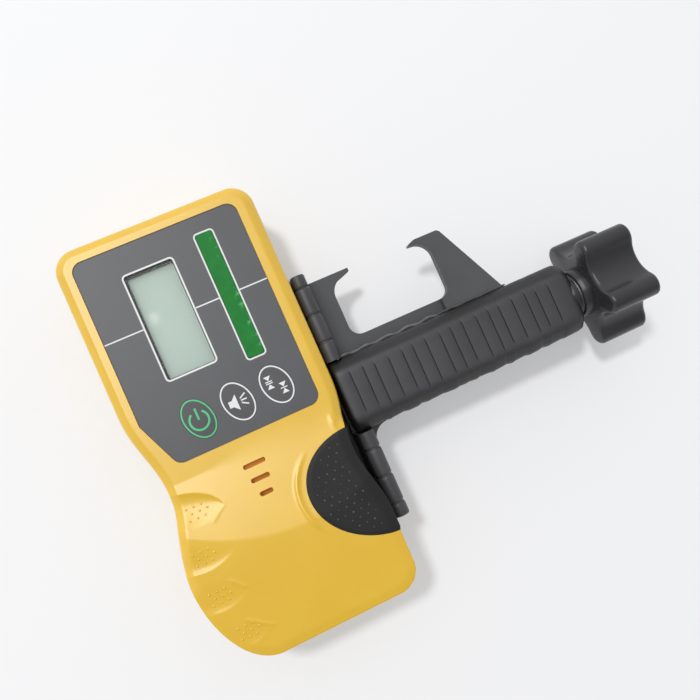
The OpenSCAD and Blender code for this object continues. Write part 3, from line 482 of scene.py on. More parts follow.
crescent_top, top_fade, crescent_foot, foot_fade = 52.0, 30.0, -34.0, 28.0
bead_x, bead_y, bead_w, bead_l, bead_h = 31.5, -58.0, 0.9, 2.2, 0.35


def from_grip(x, y):
    """Distance outside the grip's leaning half oval, in millimetres, negative inside it."""
    u = (x - grip_x) / grip_w
    v = (y - grip_y + grip_lean * u) / grip_half
    return (np.hypot(u, v) - 1) * np.sqrt(grip_w * grip_half)


def soft_min(a, b, blend):
    """The lower of two heights, rounded where they cross within blend."""
    t = np.clip(0.5 + (b - a) / (2 * blend), 0, 1)
    return b + (a - b) * t - blend * t * (1 - t)


def palm(x, y):
    """Palm swell: a straight ramp from a crease, sharp at the left and faint at the right, up to a bowed crest,
    then a long curved fall to the bottom edge."""
    crest = y_crest + crest_bow * (x - crest_x) ** 2
    ramp = swell_h * (y_crease - y) / (y_crease - crest)
    ramp = -soft_min(-ramp, 0 * ramp, crease_sharp + crease_faint * rise((x - crease_x) / crease_span))
    s = (crest - y) / (crest - y_bottom)
    back = swell_h * (1 - fall_straight * s - fall_curved * s * np.abs(s))
    return soft_min(ramp, back, crest_blend)


def scallop(x, y, lip, tip, depth, climb, fall, fade, open_share):
    """Depth of a finger scallop: its lip sags along x, its upper edge is a quarter oval down to the tip, the depth
    climbs from the one and falls to the other as powers, fades to the tip as a power too, and an open share of it is
    left at the case's left edge."""
    start = left_side(np.float64(lip + scallop_end), 0)
    u = np.clip((x - start) / (tip - start), 0, 1)
    upper = lip + scallop_end + scallop_upper * (1 - u * u) ** scallop_oval
    lower = lip + scallop_end * u * u - scallop_sag * np.sin(np.pi * u)
    v = np.clip((upper - y) / np.maximum(upper - lower, scallop_least), 0, 1)
    deepest = climb / (climb + fall)
    bowl = (v / deepest) ** climb * ((1 - v) / (1 - deepest)) ** fall
    inward = rise((x - left_side(y, 0)) / scallop_ease)
    return depth * (bowl * (1 - u * u) ** fade * (open_share + (1 - open_share) * inward))


def brow(x, y, start, stop, height):
    """A low ridge along a line: a bell across it, tapered at both ends as a smooth step."""
    run = np.subtract(stop, start)
    length = np.hypot(*run)
    along = ((x - start[0]) * run[0] + (y - start[1]) * run[1]) / length
    off = ((x - start[0]) * run[1] - (y - start[1]) * run[0]) / length
    taper = rise(along / brow_taper) * rise((length - along) / brow_taper)
    return height * taper * np.exp(-(off / brow_w) ** 2)


def relief(x, y):
    """Height of the front above its plane: the palm swell, less the finger scallops at its left, the brows of three
    of them, a raised crescent beside the rubber grip, and a small bead where the right rim runs out."""
    h = palm(x, y)
    turn = np.degrees(np.arctan2((y - grip_y) / grip_half, (grip_x - x) / grip_w))
    crescent = rise((crescent_top - turn) / top_fade) * rise((turn - crescent_foot) / foot_fade)
    h = h + crescent_h * np.exp(-((from_grip(x, y) - crescent_gap) / crescent_w) ** 2) * crescent
    for lip, form in zip(scallop_lips, scallop_forms):
        h = h - scallop(x, y, lip, *form)
    for line in brow_lines:
        h = h + brow(x, y, *line)
    return h + bead_h * np.exp(-((x - bead_x) / bead_w) ** 2 - ((y - bead_y) / bead_l) ** 2)


rim_profile = [(4.0, 0.0), (3.6, 0.02), (3.25, 0.08), (2.95, 0.18), (2.65, 0.32), (0.75, 1.4), (0.4, 1.68),
               (0.15, 2.05), (0.03, 2.5), (0.0, 3.0)]
front_edge = [(d, z_front - drop) for d, drop in rim_profile] + [(0.0, z_split + split_ease), (split_ease, z_split)]
edge_ease, edge_below, edge_hold, edge_fade, edge_side = 0.8, 1.0, 26.0, 6.0, 10.0


def front_height(x, y, z):
    """The edge profile lifted by the relief; below the crease, and lower down at the left, the edge is eased, and the
    split stays flat."""
    leftward = rise(-x / edge_side)
    eased = rise((y_crease - edge_below - edge_hold * leftward - y) / (edge_fade * (1 + leftward)))
    drop = (z_front - z) * (1 - edge_ease * eased)
    return np.where(z < z_split + clear, z, z_front - drop + relief(x, y))


front_rows, front_cols = (16, 40, 130, 120), 210
front_case = put("front_case", *case_half(front_edge, front_height, front_rows, front_cols))
panel_r, slant_w, slant_h, panel_gap, recess_gap = 4.0, 6.0, 17.8, 0.12, 0.02


def panel_outline(grow):
    """Outline of the panel grown by a margin: four round corners and a slanted lower left side."""
    x0, y0 = panel_low[:2] + panel_r
    x1, y1 = panel_high[:2] - panel_r
    lean = np.degrees(np.arctan(slant_w / slant_h))
    r = panel_r + grow
    return np.vstack([arc((x1, y1), r, 0, 90), arc((x0, y1), r, 90, 180),
                      [(panel_low[0] - grow, panel_low[1] + slant_h)],
                      arc((x0 + slant_w, y0), r, 180 + lean, 270), arc((x1, y0), r, 270, 360)])


cut(front_case, *prisms([panel_outline(panel_gap)], z_recess - recess_gap, z_front + clear))
slot_widths, slot_h, slot_pitch, slot_ease = (8.6, 7.2, 5.1), 1.75, 5.5, 0.02
slot_x, slot_y, slot_depth, slot_above = -0.4, -65.5, 2.2, 9.0
slots = [rounded(slot_x, slot_y + (1 - k) * slot_pitch, w, slot_h, slot_h / 2 - slot_ease)
         for k, w in enumerate(slot_widths)]
cut(front_case, *prisms(slots, z_front - slot_depth, z_front + slot_above))
window_low, window_high = corners("lcd_window")
filter_low, filter_high = corners("sensor_window")
window_x, filter_x = (window_low[0] + window_high[0]) / 2, (filter_low[0] + filter_high[0]) / 2
window_w, window_l = (window_high - window_low)[:2]
window_r, window_room, pocket_deep = 1.0, 0.3, 4.0
sensor_w, sensor_l, sensor_r, sensor_room = 6.8, 49.3, 1.2, 3.0
key_places = [(-12.0, -37.2), (3.2, -37.2), (18.4, -37.2)]
key_w, key_l, key_lean, key_room = 11.5, 15.9, 17.0, 2.8


def oval(place, width, length, steps=72):
    """Outline of a key: an oval that leans, about its place."""
    turn, lean = np.radians(np.arange(steps) * 360 / steps), np.radians(key_lean)
    a, b = width / 2 * np.cos(turn), length / 2 * np.sin(turn)
    return np.c_[place[0] + a * np.cos(lean) - b * np.sin(lean), place[1] + a * np.sin(lean) + b * np.cos(lean)]


pockets = [rounded(window_x, 0, window_w + window_room, window_l + window_room, window_r),
           rounded(filter_x, 0, sensor_w + sensor_room, sensor_l + sensor_room, sensor_r)]
pockets += [oval(place, key_w + key_room, key_l + key_room) for place in key_places]
cut(front_case, *prisms(pockets, z_recess - pocket_deep, z_recess + clear))
finish(front_case, yellow_plastic, "receiver", "yellow_case", "front_shell", sharp=28)

# Sound gauze: a disc of woven amber polyester glued behind the three slots, which lets the buzzer out and keeps
# dust from it. Its dark amber tone also stands in as painted shade for the depth of the slots.
slot_shade_gauze = moulded("slot shade gauze", linear(196, 124, 30), linear(180, 108, 22), 0.6, 0.75, 6000, 2e-5)
gauze_r, gauze_t, gauze_drop, gauze_points = 9.0, 0.2, 0.9, 60
gauze_profile = ((gauze_r, gauze_t), (gauze_r, 0.0), (gauze_r / 2, 0.0), (0.2, 0.0))
gauze_rings = [level(circle((slot_x, slot_y), r, gauze_points), z_front - gauze_drop - drop)
               for r, drop in gauze_profile]
finish(put("sound_gauze", *loft(gauze_rings)), slot_shade_gauze, "receiver", "yellow_case")

# Scallop dots: small round pips moulded on the lower half of each finger scallop, for grip.
# They are part of the same yellow moulding.
dot_turns, dot_rings, dot_foot, dot_top = 8, 3, -30, 75
dot_x, dot_y, dot_row, dot_pitch, dot_r, dot_h, dot_sunk = 4.6, 1.7, 2.1, 2.9, 0.5, 0.27, 0.05


def domes(places, heights, radius, tall):
    """Points and faces of small spherical caps: rings that shrink as a cosine and climb as a sine, closed below."""
    up = np.radians(np.linspace(dot_foot, dot_top, dot_rings + 1))
    turn = np.arange(dot_turns) * 2 * np.pi / dot_turns
    unit = np.stack([np.outer(np.cos(up), np.cos(turn)) * radius, np.outer(np.cos(up), np.sin(turn)) * radius,
                     np.outer(np.sin(up) * tall, np.ones(dot_turns))], -1)
    points, faces = loft(unit)
    places = np.c_[places, heights]
    every = (places[:, None, :] + points[None, :, :]).reshape(-1, 3)
    return every, [[corner + k * len(points) for corner in face] for k in range(len(places)) for face in faces]


dot_grid = np.array([(dot_x + dot_pitch * (i + j % 2 / 2), dot_y + dot_row * j) for j in range(3) for i in range(3)])
dot_places = np.vstack([dot_grid + [left_side(lip + 2 * dot_row, 0), lip] for lip in scallop_lips])
dot_heights = z_front + relief(*dot_places.T) - dot_sunk
scallop_dots = put("scallop_dots", *domes(dot_places, dot_heights, dot_r, dot_h))
finish(scallop_dots, yellow_plastic, "receiver", "yellow_case", sharp=180)

# Panel: a printed polycarbonate film, matt dark grey, glued into the recess of the front shell.
# White lines frame the display and the sensor and mark the on-grade line.
panel_film = moulded("panel film", linear(77, 78, 82), linear(72, 73, 77), 0.38, 0.46, 5200, 2e-6, ior=1.62)
dress("panel_overlay", panel_film)
white_ink = moulded("white ink", linear(232, 233, 233), linear(224, 225, 226), 0.45, 0.55, 4200, 1e-6)
ink_t, display_line, sensor_line, grade_line = 0.05, 0.65, 0.6, 0.5
display_frame, sensor_frame = (-7.15, -0.05, 19.3, 41.3, 1.4), (16.1, -0.15, 7.4, 49.9, 1.3)
grade_spans = ((panel_low[0] + 0.2, -17.0), (2.7, 12.1), (20.1, panel_high[0] - 0.1))


def hoop(rings):
    """Points and faces of a band through rings, the last of which meets the first."""
    return np.concatenate([rings, rings[:1]]).reshape(-1, 3), grid_faces(len(rings) + 1, rings.shape[1], True).tolist()


def ribbon(path, width, closed=False):
    """Points and faces of a flat line printed on the panel: a thin rectangle carried along a path, square to it."""
    path = np.asarray(path, float)
    ahead = np.roll(path, -1, 0) - np.roll(path, 1, 0)
    if not closed:
        ahead[0], ahead[-1] = path[1] - path[0], path[-1] - path[-2]
    side = np.c_[-ahead[:, 1], ahead[:, 0]] / np.linalg.norm(ahead, axis=1)[:, None] * width / 2
    left, right, low, high = path + side, path - side, z_panel - ink_t, z_panel + ink_t
    rings = np.stack([level(left, low), level(left, high), level(right, high), level(right, low)], 1)
    return hoop(rings) if closed else loft(rings)


panel_lines = [ribbon(rounded(*display_frame), display_line, True), ribbon(rounded(*sensor_frame), sensor_line, True)]
panel_lines += [ribbon([(x0, 0), (x1, 0)], grade_line) for x0, x1 in grade_spans]
finish(put("panel_lines", *joined(panel_lines)), white_ink, "receiver", "panel_grey")

# Display: a pale reflective glass cell behind a clear acrylic window, set a few millimetres below the panel.
# A black foam gasket lines the opening and keeps dust off the cell; its wider top and left bands are painted shadow.
lcd_face = moulded("display face", linear(176, 197, 184), linear(167, 189, 176), 0.35, 0.45, 3000, 1e-6, broad=30)
dress("lcd_module", lcd_face)
clear_acrylic = moulded("clear acrylic", (0.9, 0.95, 0.93, 1), (0.86, 0.92, 0.9, 1), 0.03, 0.06, 900, 5e-7)
adjust(clear_acrylic, {"Alpha": 0.07})
dress("lcd_window", clear_acrylic)
gasket_foam = moulded("gasket foam", linear(26, 27, 27), linear(19, 20, 20), 0.8, 0.92, 2600, 4e-6, ior=1.15)
lcd_w, lcd_l, lcd_top = 18.5, 40.5, corners("lcd_module")[1][2]
gasket_in, gasket_shadow_top, gasket_shadow_left, gasket_room = 0.28, 0.95, 0.62, 0.02


def gasket():
    """The lining of the display opening: a frame carried round it, its extra width at top and left a painted shadow.
    """
    outer = rounded(window_x, 0, window_w, window_l, window_r)
    inner = rounded(window_x + (gasket_shadow_left - gasket_in) / 2, (gasket_in - gasket_shadow_top) / 2,
                    lcd_w - gasket_in - gasket_shadow_left, lcd_l - gasket_in - gasket_shadow_top, window_r - gasket_in)
    low, high = lcd_top + gasket_room, window_low[2] - gasket_room
    return hoop(np.stack([level(outer, low), level(outer, high), level(inner, high), level(inner, low)], 1))


finish(put("display_gasket", *gasket()), gasket_foam, "receiver", "black_rubber")

# Sensor window: a strip of green filter plastic over a row of photodiodes, moulded with a fine satin face.
# Paler flecks along its right side are painted reflections.
green_filter = moulded("green filter", linear(22, 127, 50), linear(14, 115, 40), 0.4, 0.5, 1500, 1e-6,
                       broad=260, ior=1.32)
fleck_from, fleck_to, fleck_scale, fleck_low, fleck_high = 1.0, 2.6, 480, 0.56, 0.7


def tint_of(material):
    """The output that gives a finish its colour."""
    return material.node_tree.nodes["Principled BSDF"].inputs["Base Color"].links[0].from_socket


# Painted reflection: paler green flecks mixed into the filter's colour in a band along its right side.
fleck_tree = green_filter.node_tree
fleck_place = add_node(fleck_tree, "TexCoord", {}).outputs["Object"]
fleck_axes = add_node(fleck_tree, "SeparateXYZ", {"Vector": fleck_place})
fleck_side = add_node(fleck_tree, "MapRange", {
    "Value": fleck_axes.outputs["X"], "From Min": (filter_x + fleck_from) / 1000,
    "From Max": (filter_x + fleck_to) / 1000})
fleck_noise = add_node(fleck_tree, "TexNoise", {"Vector": fleck_place, "Scale": fleck_scale})
painted_reflection_mask = add_node(fleck_tree, "MapRange", {
    "Value": fleck_noise.outputs["Fac"], "From Min": fleck_low, "From Max": fleck_high})
painted_reflection_mix = add_node(fleck_tree, "MixRGB", {
    "Fac": worked_out(fleck_tree, "MULTIPLY", fleck_side.outputs["Result"], painted_reflection_mask.outputs["Result"]),
    "Color1": tint_of(green_filter), "Color2": linear(84, 168, 102)})
adjust(green_filter, {"Base Color": painted_reflection_mix.outputs["Color"]})
dress("sensor_window", green_filter)

# Keys: three oval rubber keys flush with the panel, each with a printed ring and a generic sign.
# They press down on tact switches and spring back.
key_rubber = moulded("key rubber", linear(82, 82, 86), linear(77, 77, 81), 0.45, 0.55, 4200, 2e-6)
green_ink = moulded("green ink", linear(88, 205, 140), linear(80, 194, 130), 0.45, 0.55, 4200, 1e-6)
key_gap, key_crown, key_ease, ring_in, ring_line = 0.08, 0.15, 0.06, 0.5, 0.55
flange_up, flange_out, flange_t = 1.55, 1.2, 0.75
flange_low = corners("power_key")[0][2] + flange_up
power_line, sound_line, fine_line = 0.75, 0.5, 0.4
arrow_w, arrow_h = 1.35, 1.7


def crown(points, place):
    """Height of a key's low crown above the panel: it falls as the square of the share of the oval's reach."""
    lean = np.radians(key_lean)
    x, y = points[:, 0] - place[0], points[:, 1] - place[1]
    a, b = x * np.cos(lean) + y * np.sin(lean), y * np.cos(lean) - x * np.sin(lean)
    return key_crown * np.maximum(1 - (2 * a / key_w) ** 2 - (2 * b / key_l) ** 2, 0)


def key_cap(name, place):
    """A key as rings of its oval: a flange below the panel, a straight side and a low crown."""
    steps = [(flange_out, flange_low), (flange_out, flange_low + flange_t), (-key_gap, flange_low + flange_t),
             (-key_gap, z_panel - key_ease), (-key_gap - key_ease, z_panel)]
    rings = [level(oval(place, key_w + 2 * grow, key_l + 2 * grow), z) for grow, z in steps]
    for share in np.linspace(0.95, 0.05, 10):
        ring = oval(place, key_w * share, key_l * share)
        rings.append(np.c_[ring, z_panel + crown(ring, place)])
    return put(name, *loft(rings))


def printed(outline):
    """A filled shape printed on the panel, from its outline."""
    return prisms([outline], z_panel - ink_t, z_panel + ink_t)


def arrow(x, y, tall):
    """A small filled triangle that points up, or down when tall is negative."""
    return printed([(x - arrow_w, y), (x + arrow_w, y), (x, y + tall)])


power_x = key_places[0][0]
power_sign = [ribbon(arc((power_x, -37.8), 3.5, 125, 415, 40), power_line),
              ribbon([(power_x, -33.2), (power_x, -37.6)], power_line)]
sound_sign = [printed([(-0.3, -36.2), (-0.3, -38.6), (1.1, -38.6), (3.0, -40.4), (3.0, -34.4), (1.1, -36.2)])]
sound_sign += [ribbon([(4.3, -37.3 + 0.8 * k), (6.6, -37.3 + 2.1 * k)], sound_line) for k in (-1, 0, 1)]
fine_sign = [arrow(16.1, -33.2, -arrow_h), arrow(16.1, -38.0, arrow_h), arrow(20.5, -37.2, -arrow_h),
             arrow(20.5, -41.3, arrow_h)]
fine_bars = ((14.8, 17.4, -35.25), (14.8, 17.4, -35.95), (19.2, 21.8, -39.25))
fine_sign += [ribbon([(x0, y), (x1, y)], fine_line) for x0, x1, y in fine_bars]
keys = (("power", power_sign, green_ink), ("sound", sound_sign, white_ink), ("precision", fine_sign, white_ink))
for (key, sign, ink), place in zip(keys, key_places):
    finish(key_cap(key + "_cap", place), key_rubber, key + "_button", "key_grey", key + "_key")
    ring = ribbon(oval(place, key_w - 2 * ring_in, key_l - 2 * ring_in), ring_line, True)
    points, faces = joined([ring] + sign)
    points = np.array(points)
    points[:, 2] += crown(points, place)
    finish(put(key + "_sign", points, faces), ink, key + "_button", "key_grey")

# Side grip: a soft black rubber pad moulded over the right side, a leaning half oval with small raised pips.
# It stands slightly proud of the yellow shell round it.
grip_rubber = moulded("grip rubber", linear(38, 37, 38), linear(30, 29, 30), 0.55, 0.68, 3000, 8e-6, ior=1.38)
grip_proud, grip_step, grip_round, grip_thick, grip_low, grip_least = 0.45, 0.12, 1.6, 1.2, 1.2, 0.02
grip_rows, grip_cols, bend_cols, side_cols = 90, 44, 16, 10
rim_w = rim_profile[0][0]
rim_inset, rim_drop = np.array(rim_profile)[::-1].T


def grip_surface():
    """Rows run from the oval's edge across the front to the right, over the case's edge and down its side; the pad
    stands proud by a height that grows as a smooth step from its own edge."""
    turn = np.radians(np.linspace(91, 269, grip_rows))
    y = grip_y + grip_half * np.sin(turn) - grip_lean * np.cos(turn)
    edge = np.maximum(right_side(y, 0) - (grip_x + grip_w * np.cos(turn)), grip_least)
    near = np.minimum(edge, rim_w)
    across = [edge + (near - edge) * s for s in np.linspace(0, 1, grip_cols)]
    across += [near * (1 - s) for s in np.linspace(0, 1, bend_cols)[1:]]
    rows = []
    for d in across:
        x = right_side(y, d)
        lift = grip_step + grip_proud * rise(-from_grip(x, y) / grip_round)
        drop = np.interp(d, rim_inset, rim_drop)
        flat = rise(d / rim_w)
        rows.append(np.c_[x + lift * (1 - flat), y, front_height(x, y, z_front - drop) + lift * flat])
    top = rows[-1][:, 2]
    for s in np.linspace(0, 1, side_cols)[1:]:
        rows.append(np.c_[rows[-1][:, :2], top + (z_split + grip_low - top) * s])
    return np.array(rows)


grip_points = grip_surface()
grip_pad = put("grip_pad", grip_points, grid_faces(*grip_points.shape[:2]).tolist())
thickness = grip_pad.modifiers.new("thickness", "SOLIDIFY")
thickness.thickness = grip_thick / 1000
thickness.offset = -1
finish(grip_pad, grip_rubber, "receiver", "black_rubber", "side_grip", sharp=60)
pip_pitch, pip_row, pip_r, pip_h, pip_sunk, pip_in, pip_side = 3.1, 0.87, 0.42, 0.32, 0.05, 2.6, 4.5
pip_x, pip_y = (11, 38), (-104, -61)
pip_grid = np.array([(x + pip_pitch / 2 * (j % 2), y) for j, y in enumerate(np.arange(*pip_y, pip_row * pip_pitch))
                     for x in np.arange(*pip_x, pip_pitch)])
pip_inside = (from_grip(*pip_grid.T) < -pip_in) & (pip_grid[:, 0] < right_side(pip_grid[:, 1], pip_side))
pip_places = pip_grid[pip_inside]
pip_heights = z_front + relief(*pip_places.T) + grip_step + grip_proud - pip_sunk
grip_pips = put("grip_pips", *domes(pip_places, pip_heights, pip_r, pip_h))
# The pips are mottled pale on the dark rubber: a painted highlight for the light caught on their tips.
pip_highlight_rubber = moulded("pip highlight rubber", linear(88, 87, 88), linear(30, 29, 30), 0.32, 0.5, 3000, 4e-6, broad=420)
finish(grip_pips, pip_highlight_rubber, "receiver", "black_rubber", sharp=180)

# Bracket: a black plastic plate behind the case with a ribbed bar that stands up beside it and carries the arm.
# One coin-slot screw holds it to the threaded insert in the case's back.
black_plastic = moulded("black plastic", linear(70, 70, 72), linear(61, 61, 63), 0.36, 0.48, 1800, 1.2e-5)


def softened(node, name, ease):
    """A copy of a CAD node with its doubles merged, flat faces joined and its edges broken by a small chamfer."""
    mesh = frame["nodes"][node].data.copy()
    mesh.name = name
    shaper = bmesh.new()
    shaper.from_mesh(mesh)
    bmesh.ops.remove_doubles(shaper, verts=shaper.verts, dist=1e-6)
    bmesh.ops.dissolve_limit(shaper, angle_limit=np.radians(1), verts=shaper.verts, edges=shaper.edges)
    shaper.to_mesh(mesh)
    shaper.free()
    piece = placed(name, mesh)
    bevel = piece.modifiers.new("edges", "BEVEL")
    bevel.width = ease / 1000
    bevel.segments = 1
    bevel.limit_method = "ANGLE"
    bevel.angle_limit = np.radians(40)
    return piece


def oblong(x0, y0, x1, y1):
    """Outline of a rectangle between two corners."""
    return np.array([(x0, y0), (x1, y0), (x1, y1), (x0, y1)])


bracket_body = softened("bracket_frame", "bracket_body", ease=0.35)
bracket_low, bracket_high = corners("bracket_frame")
arm_low, arm_high = corners("arm_housing")
rail_low, rail_high = corners("fixed_jaw")
plate_t, bar_w, bar_stub, bar_pitch, bar_gap, bar_clear, bar_sunk = 6.0, 6.3, 5.5, 11.0, 0.05, 0.1, 0.3
bar_x1 = rail_low[0] - bar_gap
bar_x0, bar_y0, bar_y1, bar_z1 = bar_x1 - bar_w, bracket_low[1], -2.8, bracket_high[2]
knuckle_gap, knuckle_step, stub_in, arm_clear = 0.6, 0.01, 0.3, 0.15
knuckle_ease = [(0, 0.42), (0.12, 0.18), (0.45, 0.05), (1.0, 0)]
bar_outline = oblong(bar_x0 - bar_clear, bar_y0 - clear, bar_x1 + bar_clear, bar_y1 + clear)
cut(bracket_body, *prisms([bar_outline], plate_t, bar_z1 + clear))
finish(bracket_body, black_plastic, "receiver", "black_plastic", "bracket_frame")


def bar_ring(y, inset):
    """One ring of the bar: upright sides under a round top, drawn in by inset, and cut off level under the arm."""
    top = arc(((bar_x0 + bar_x1) / 2, bar_z1 - bar_w / 2), bar_w / 2 - inset, 0, 180, 16)
    foot = np.array([(bar_x0 + inset, plate_t - bar_sunk), (bar_x1 - inset, plate_t - bar_sunk)])
    x, z = np.vstack([top, foot]).T
    under = arm_low[1] - arm_clear < y < arm_high[1] + arm_clear
    return np.c_[x, np.full(len(x), y), np.minimum(z, arm_low[2] if under else bar_z1)]


def knuckles():
    """The bar as rings along its length: a narrow stub, then knuckles with rounded ends and a groove between each."""
    count = int((bar_y1 - bar_stub - bar_y0) / bar_pitch) + 1
    starts = bar_y1 - bar_stub - bar_pitch * np.arange(count)
    spans = [(bar_y1, starts[0] + knuckle_gap, stub_in)]
    spans += [(y, max(y - bar_pitch + knuckle_gap, bar_y0), 0.0) for y in starts]
    rings = []
    for high, low, inset in spans:
        rings += [(high - step, inset + drop) for step, drop in knuckle_ease]
        rings += [(low + step, inset + drop) for step, drop in knuckle_ease[::-1]]
    for edge in (arm_high[1] + arm_clear, arm_low[1] - arm_clear):
        rings += [(edge + knuckle_step, 0.0), (edge - knuckle_step, 0.0)]
    return [bar_ring(y, inset) for y, inset in sorted(rings, key=lambda ring: -ring[0])]


finish(put("ribbed_bar", *loft(knuckles())), black_plastic, "receiver", "black_plastic", sharp=50)
dress("screw_retainer", black_plastic)
web_r, web_in, web_rise = 6.5, 0.8, 1.5


def web_ring(z, shrink):
    """One ring of the web that fills the corner below the arm: two straight sides and a hollow quarter circle."""
    hollow = arc((bar_x1 + web_r, arm_low[1] - web_r), web_r + shrink, 90, 180, 14)
    x, y = bar_x1 - web_in, arm_low[1] + web_in
    return level(np.vstack([hollow, [(x, arm_low[1] - web_r), (x, y), (bar_x1 + web_r, y)]]), z)


web_foot, web_top = arm_low[2], (arm_low[2] + arm_high[2]) / 2 + web_rise
web_steps = [(web_foot + 0.5, 0.3), (web_foot + 0.8, 0.0), (web_top - 0.6, 0.0), (web_top - 0.2, 0.15),
             (web_top, 0.6)]
bar_web = put("bar_web", *loft([web_ring(z, shrink) for z, shrink in web_steps]))
finish(bar_web, black_plastic, "receiver", "black_plastic")

# Arm: a hollow box sleeve of black rubbery plastic with bevelled edges and a rounded outer end.
# Thin seams cross its top and bottom. Its bevels and sides are coloured darker than the top and bottom, a painted
# shade for the faces turned away from the light; it is screwed to the bar's pedestal and holds the lead screw.
sleeve_plastic = moulded("sleeve plastic", linear(63, 63, 66), linear(56, 56, 59), 0.4, 0.52, 1500, 1.6e-5)
painted_shade_node = add_node(sleeve_plastic.node_tree, "Attribute", {})
painted_shade_node.attribute_name = "painted_shade_off"
painted_shade_mix = add_node(sleeve_plastic.node_tree, "MixRGB", {
    "Fac": painted_shade_node.outputs["Fac"], "Color1": linear(28, 28, 30), "Color2": tint_of(sleeve_plastic)})
adjust(sleeve_plastic, {"Base Color": painted_shade_mix.outputs["Color"]})
arm_y, arm_z = (arm_low[1] + arm_high[1]) / 2, (arm_low[2] + arm_high[2]) / 2
arm_w, arm_h = arm_high[1] - arm_low[1], arm_high[2] - arm_low[2]
bevel_w, bevel_h, sleeve_over, sleeve_round, sleeve_wave, painted_shade_from = 4.4, 5.0, 2.4, 2.0, 0.3, 0.7
rib_pitch, rib_groove, rib_depth, rib_side = 5.3, 0.1, 0.34, 0.16
seam_stop, seam_uneven, seam_band, seam_drift = 1.6, 0.4, 0.3, 0.5
swell_waves = ((1.13, 1.7), (0.41, 0.6))
jaw_low, jaw_high = corners("sliding_jaw")
slot_x0, slot_x1, slot_in, slot_out, slot_room = 66.6, 131.9, 4.0, 9.0, 0.3
slot_z0, slot_z1 = jaw_low[2] - slot_room, jaw_high[2] + slot_room
rail_start, rail_in, rail_room, rail_slip = 36.0, 2.15, 0.15, 0.05


def sleeve_section(x, inset, seam=0.0):
    """One ring of the sleeve: its bevelled box with rounded corners, drawn in by inset and by a small share of a
    seam; the flat faces are pressed in by the rest of the seam, and the sides swell and shrink slowly along the arm
    as two sines."""
    w, h = arm_w / 2 - inset - rib_side * seam, arm_h / 2 - inset
    box = np.array([(w, bevel_h - h), (w, h - bevel_h), (w - bevel_w, h), (bevel_w - w, h), (-w, h - bevel_h),
                    (-w, bevel_h - h), (bevel_w - w, -h), (w - bevel_w, -h)])
    ahead, behind = np.roll(box, -1, 0), np.roll(box, 1, 0)
    share = np.linspace(0, 1, 5)[:, None]
    bends = []
    for point, before, after in zip(box, behind, ahead):
        a = point + (before - point) / np.linalg.norm(before - point) * sleeve_round
        b = point + (after - point) / np.linalg.norm(after - point) * sleeve_round
        bends.append(a * (1 - share) ** 2 + 2 * point * share * (1 - share) + b * share ** 2)
    top, bottom = (np.linspace(bends[k][-1], bends[k + 1][0], 13)[1:-1] for k in (2, 6))
    y, z = np.vstack(bends[:3] + [top] + bends[3:7] + [bottom] + bends[7:]).T
    reach = w - bevel_w - seam_stop * (1 - seam_uneven + seam_uneven * np.sin(2.3 * x + np.sign(y)))
    pressed = seam * rise((reach - np.abs(y)) / seam_stop) * (np.abs(z) > h - seam_band)
    swell = np.prod([np.sin(pace * x + phase * np.sign(y)) for pace, phase in swell_waves], axis=0)
    swell = (swell - 1) * np.where(y > 0, sleeve_wave / 3, sleeve_wave)
    return np.c_[np.full(len(y), x), arm_y + y * (1 + swell / w), arm_z + z - pressed * np.sign(z)]


sleeve_end = arm_high[0] + sleeve_over
seams = np.arange(arm_low[0] + rib_pitch, sleeve_end - rib_pitch, rib_pitch)
seams = seams + seam_drift * np.sin(1.9 * np.arange(len(seams)) + 0.6)
root_round = [(0.0, 1.2), (0.15, 0.7), (0.5, 0.3), (1.2, 0.0)]
end_round = [(0.0, 3.0), (0.25, 2.1), (0.8, 1.25), (1.6, 0.6), (2.6, 0.2), (3.6, 0.0)]
seam_edge = [(0.3, 0.0), (0.1, 0.05), (0.0, rib_depth)]
sleeve_rings = [sleeve_section(arm_low[0] + step, inset) for step, inset in root_round]
for seam in seams:
    sleeve_rings.append(sleeve_section(seam - rib_pitch / 3, 0.0))
    sleeve_rings += [sleeve_section(seam - rib_groove / 2 - step, 0.0, deep) for step, deep in seam_edge]
    sleeve_rings += [sleeve_section(seam + rib_groove / 2 + step, 0.0, deep) for step, deep in seam_edge[::-1]]
sleeve_rings += [sleeve_section(sleeve_end - step, inset) for step, inset in end_round[::-1]]
sleeve_rings.sort(key=lambda ring: ring[0, 0])
sleeve = put("arm_sleeve", *loft(sleeve_rings))
slot_y0, rail_y = arm_y + arm_w / 2 - slot_in, arm_y + arm_w / 2 - rail_in
cut(sleeve, *prisms([oblong(slot_x0, slot_y0, slot_x1, slot_y0 + slot_out)], slot_z0, slot_z1))
rail_slot = oblong(rail_start, rail_y, rail_high[0] + rail_room, rail_y + slot_out)
cut(sleeve, *prisms([rail_slot], rail_low[2] - rail_slip, rail_high[2] + rail_slip))
# Painted shade: the share of the plastic's own colour, full on level faces and falling to the darker colour on bevels
# and sides.
facing = np.empty(3 * len(sleeve.data.vertices))
sleeve.data.vertex_normals.foreach_get("vector", facing)
painted_shade_off = rise((np.abs(facing.reshape(-1, 3)[:, 2]) - painted_shade_from) / (1 - painted_shade_from))
sleeve.data.attributes.new("painted_shade_off", "FLOAT", "POINT").data.foreach_set("value", painted_shade_off.astype(np.float32))
finish(sleeve, sleeve_plastic, "receiver", "black_plastic", "arm_housing", sharp=50)
lip_r, lip_wave, lip_out, lip_up, lip_swell, lip_blunt = 0.55, 0.3, 0.35, 0.8, 0.3, 12
lip_start, lip_stop, lip_past = arm_low[0] + 4, jaw_low[0] - 0.5, 0.8


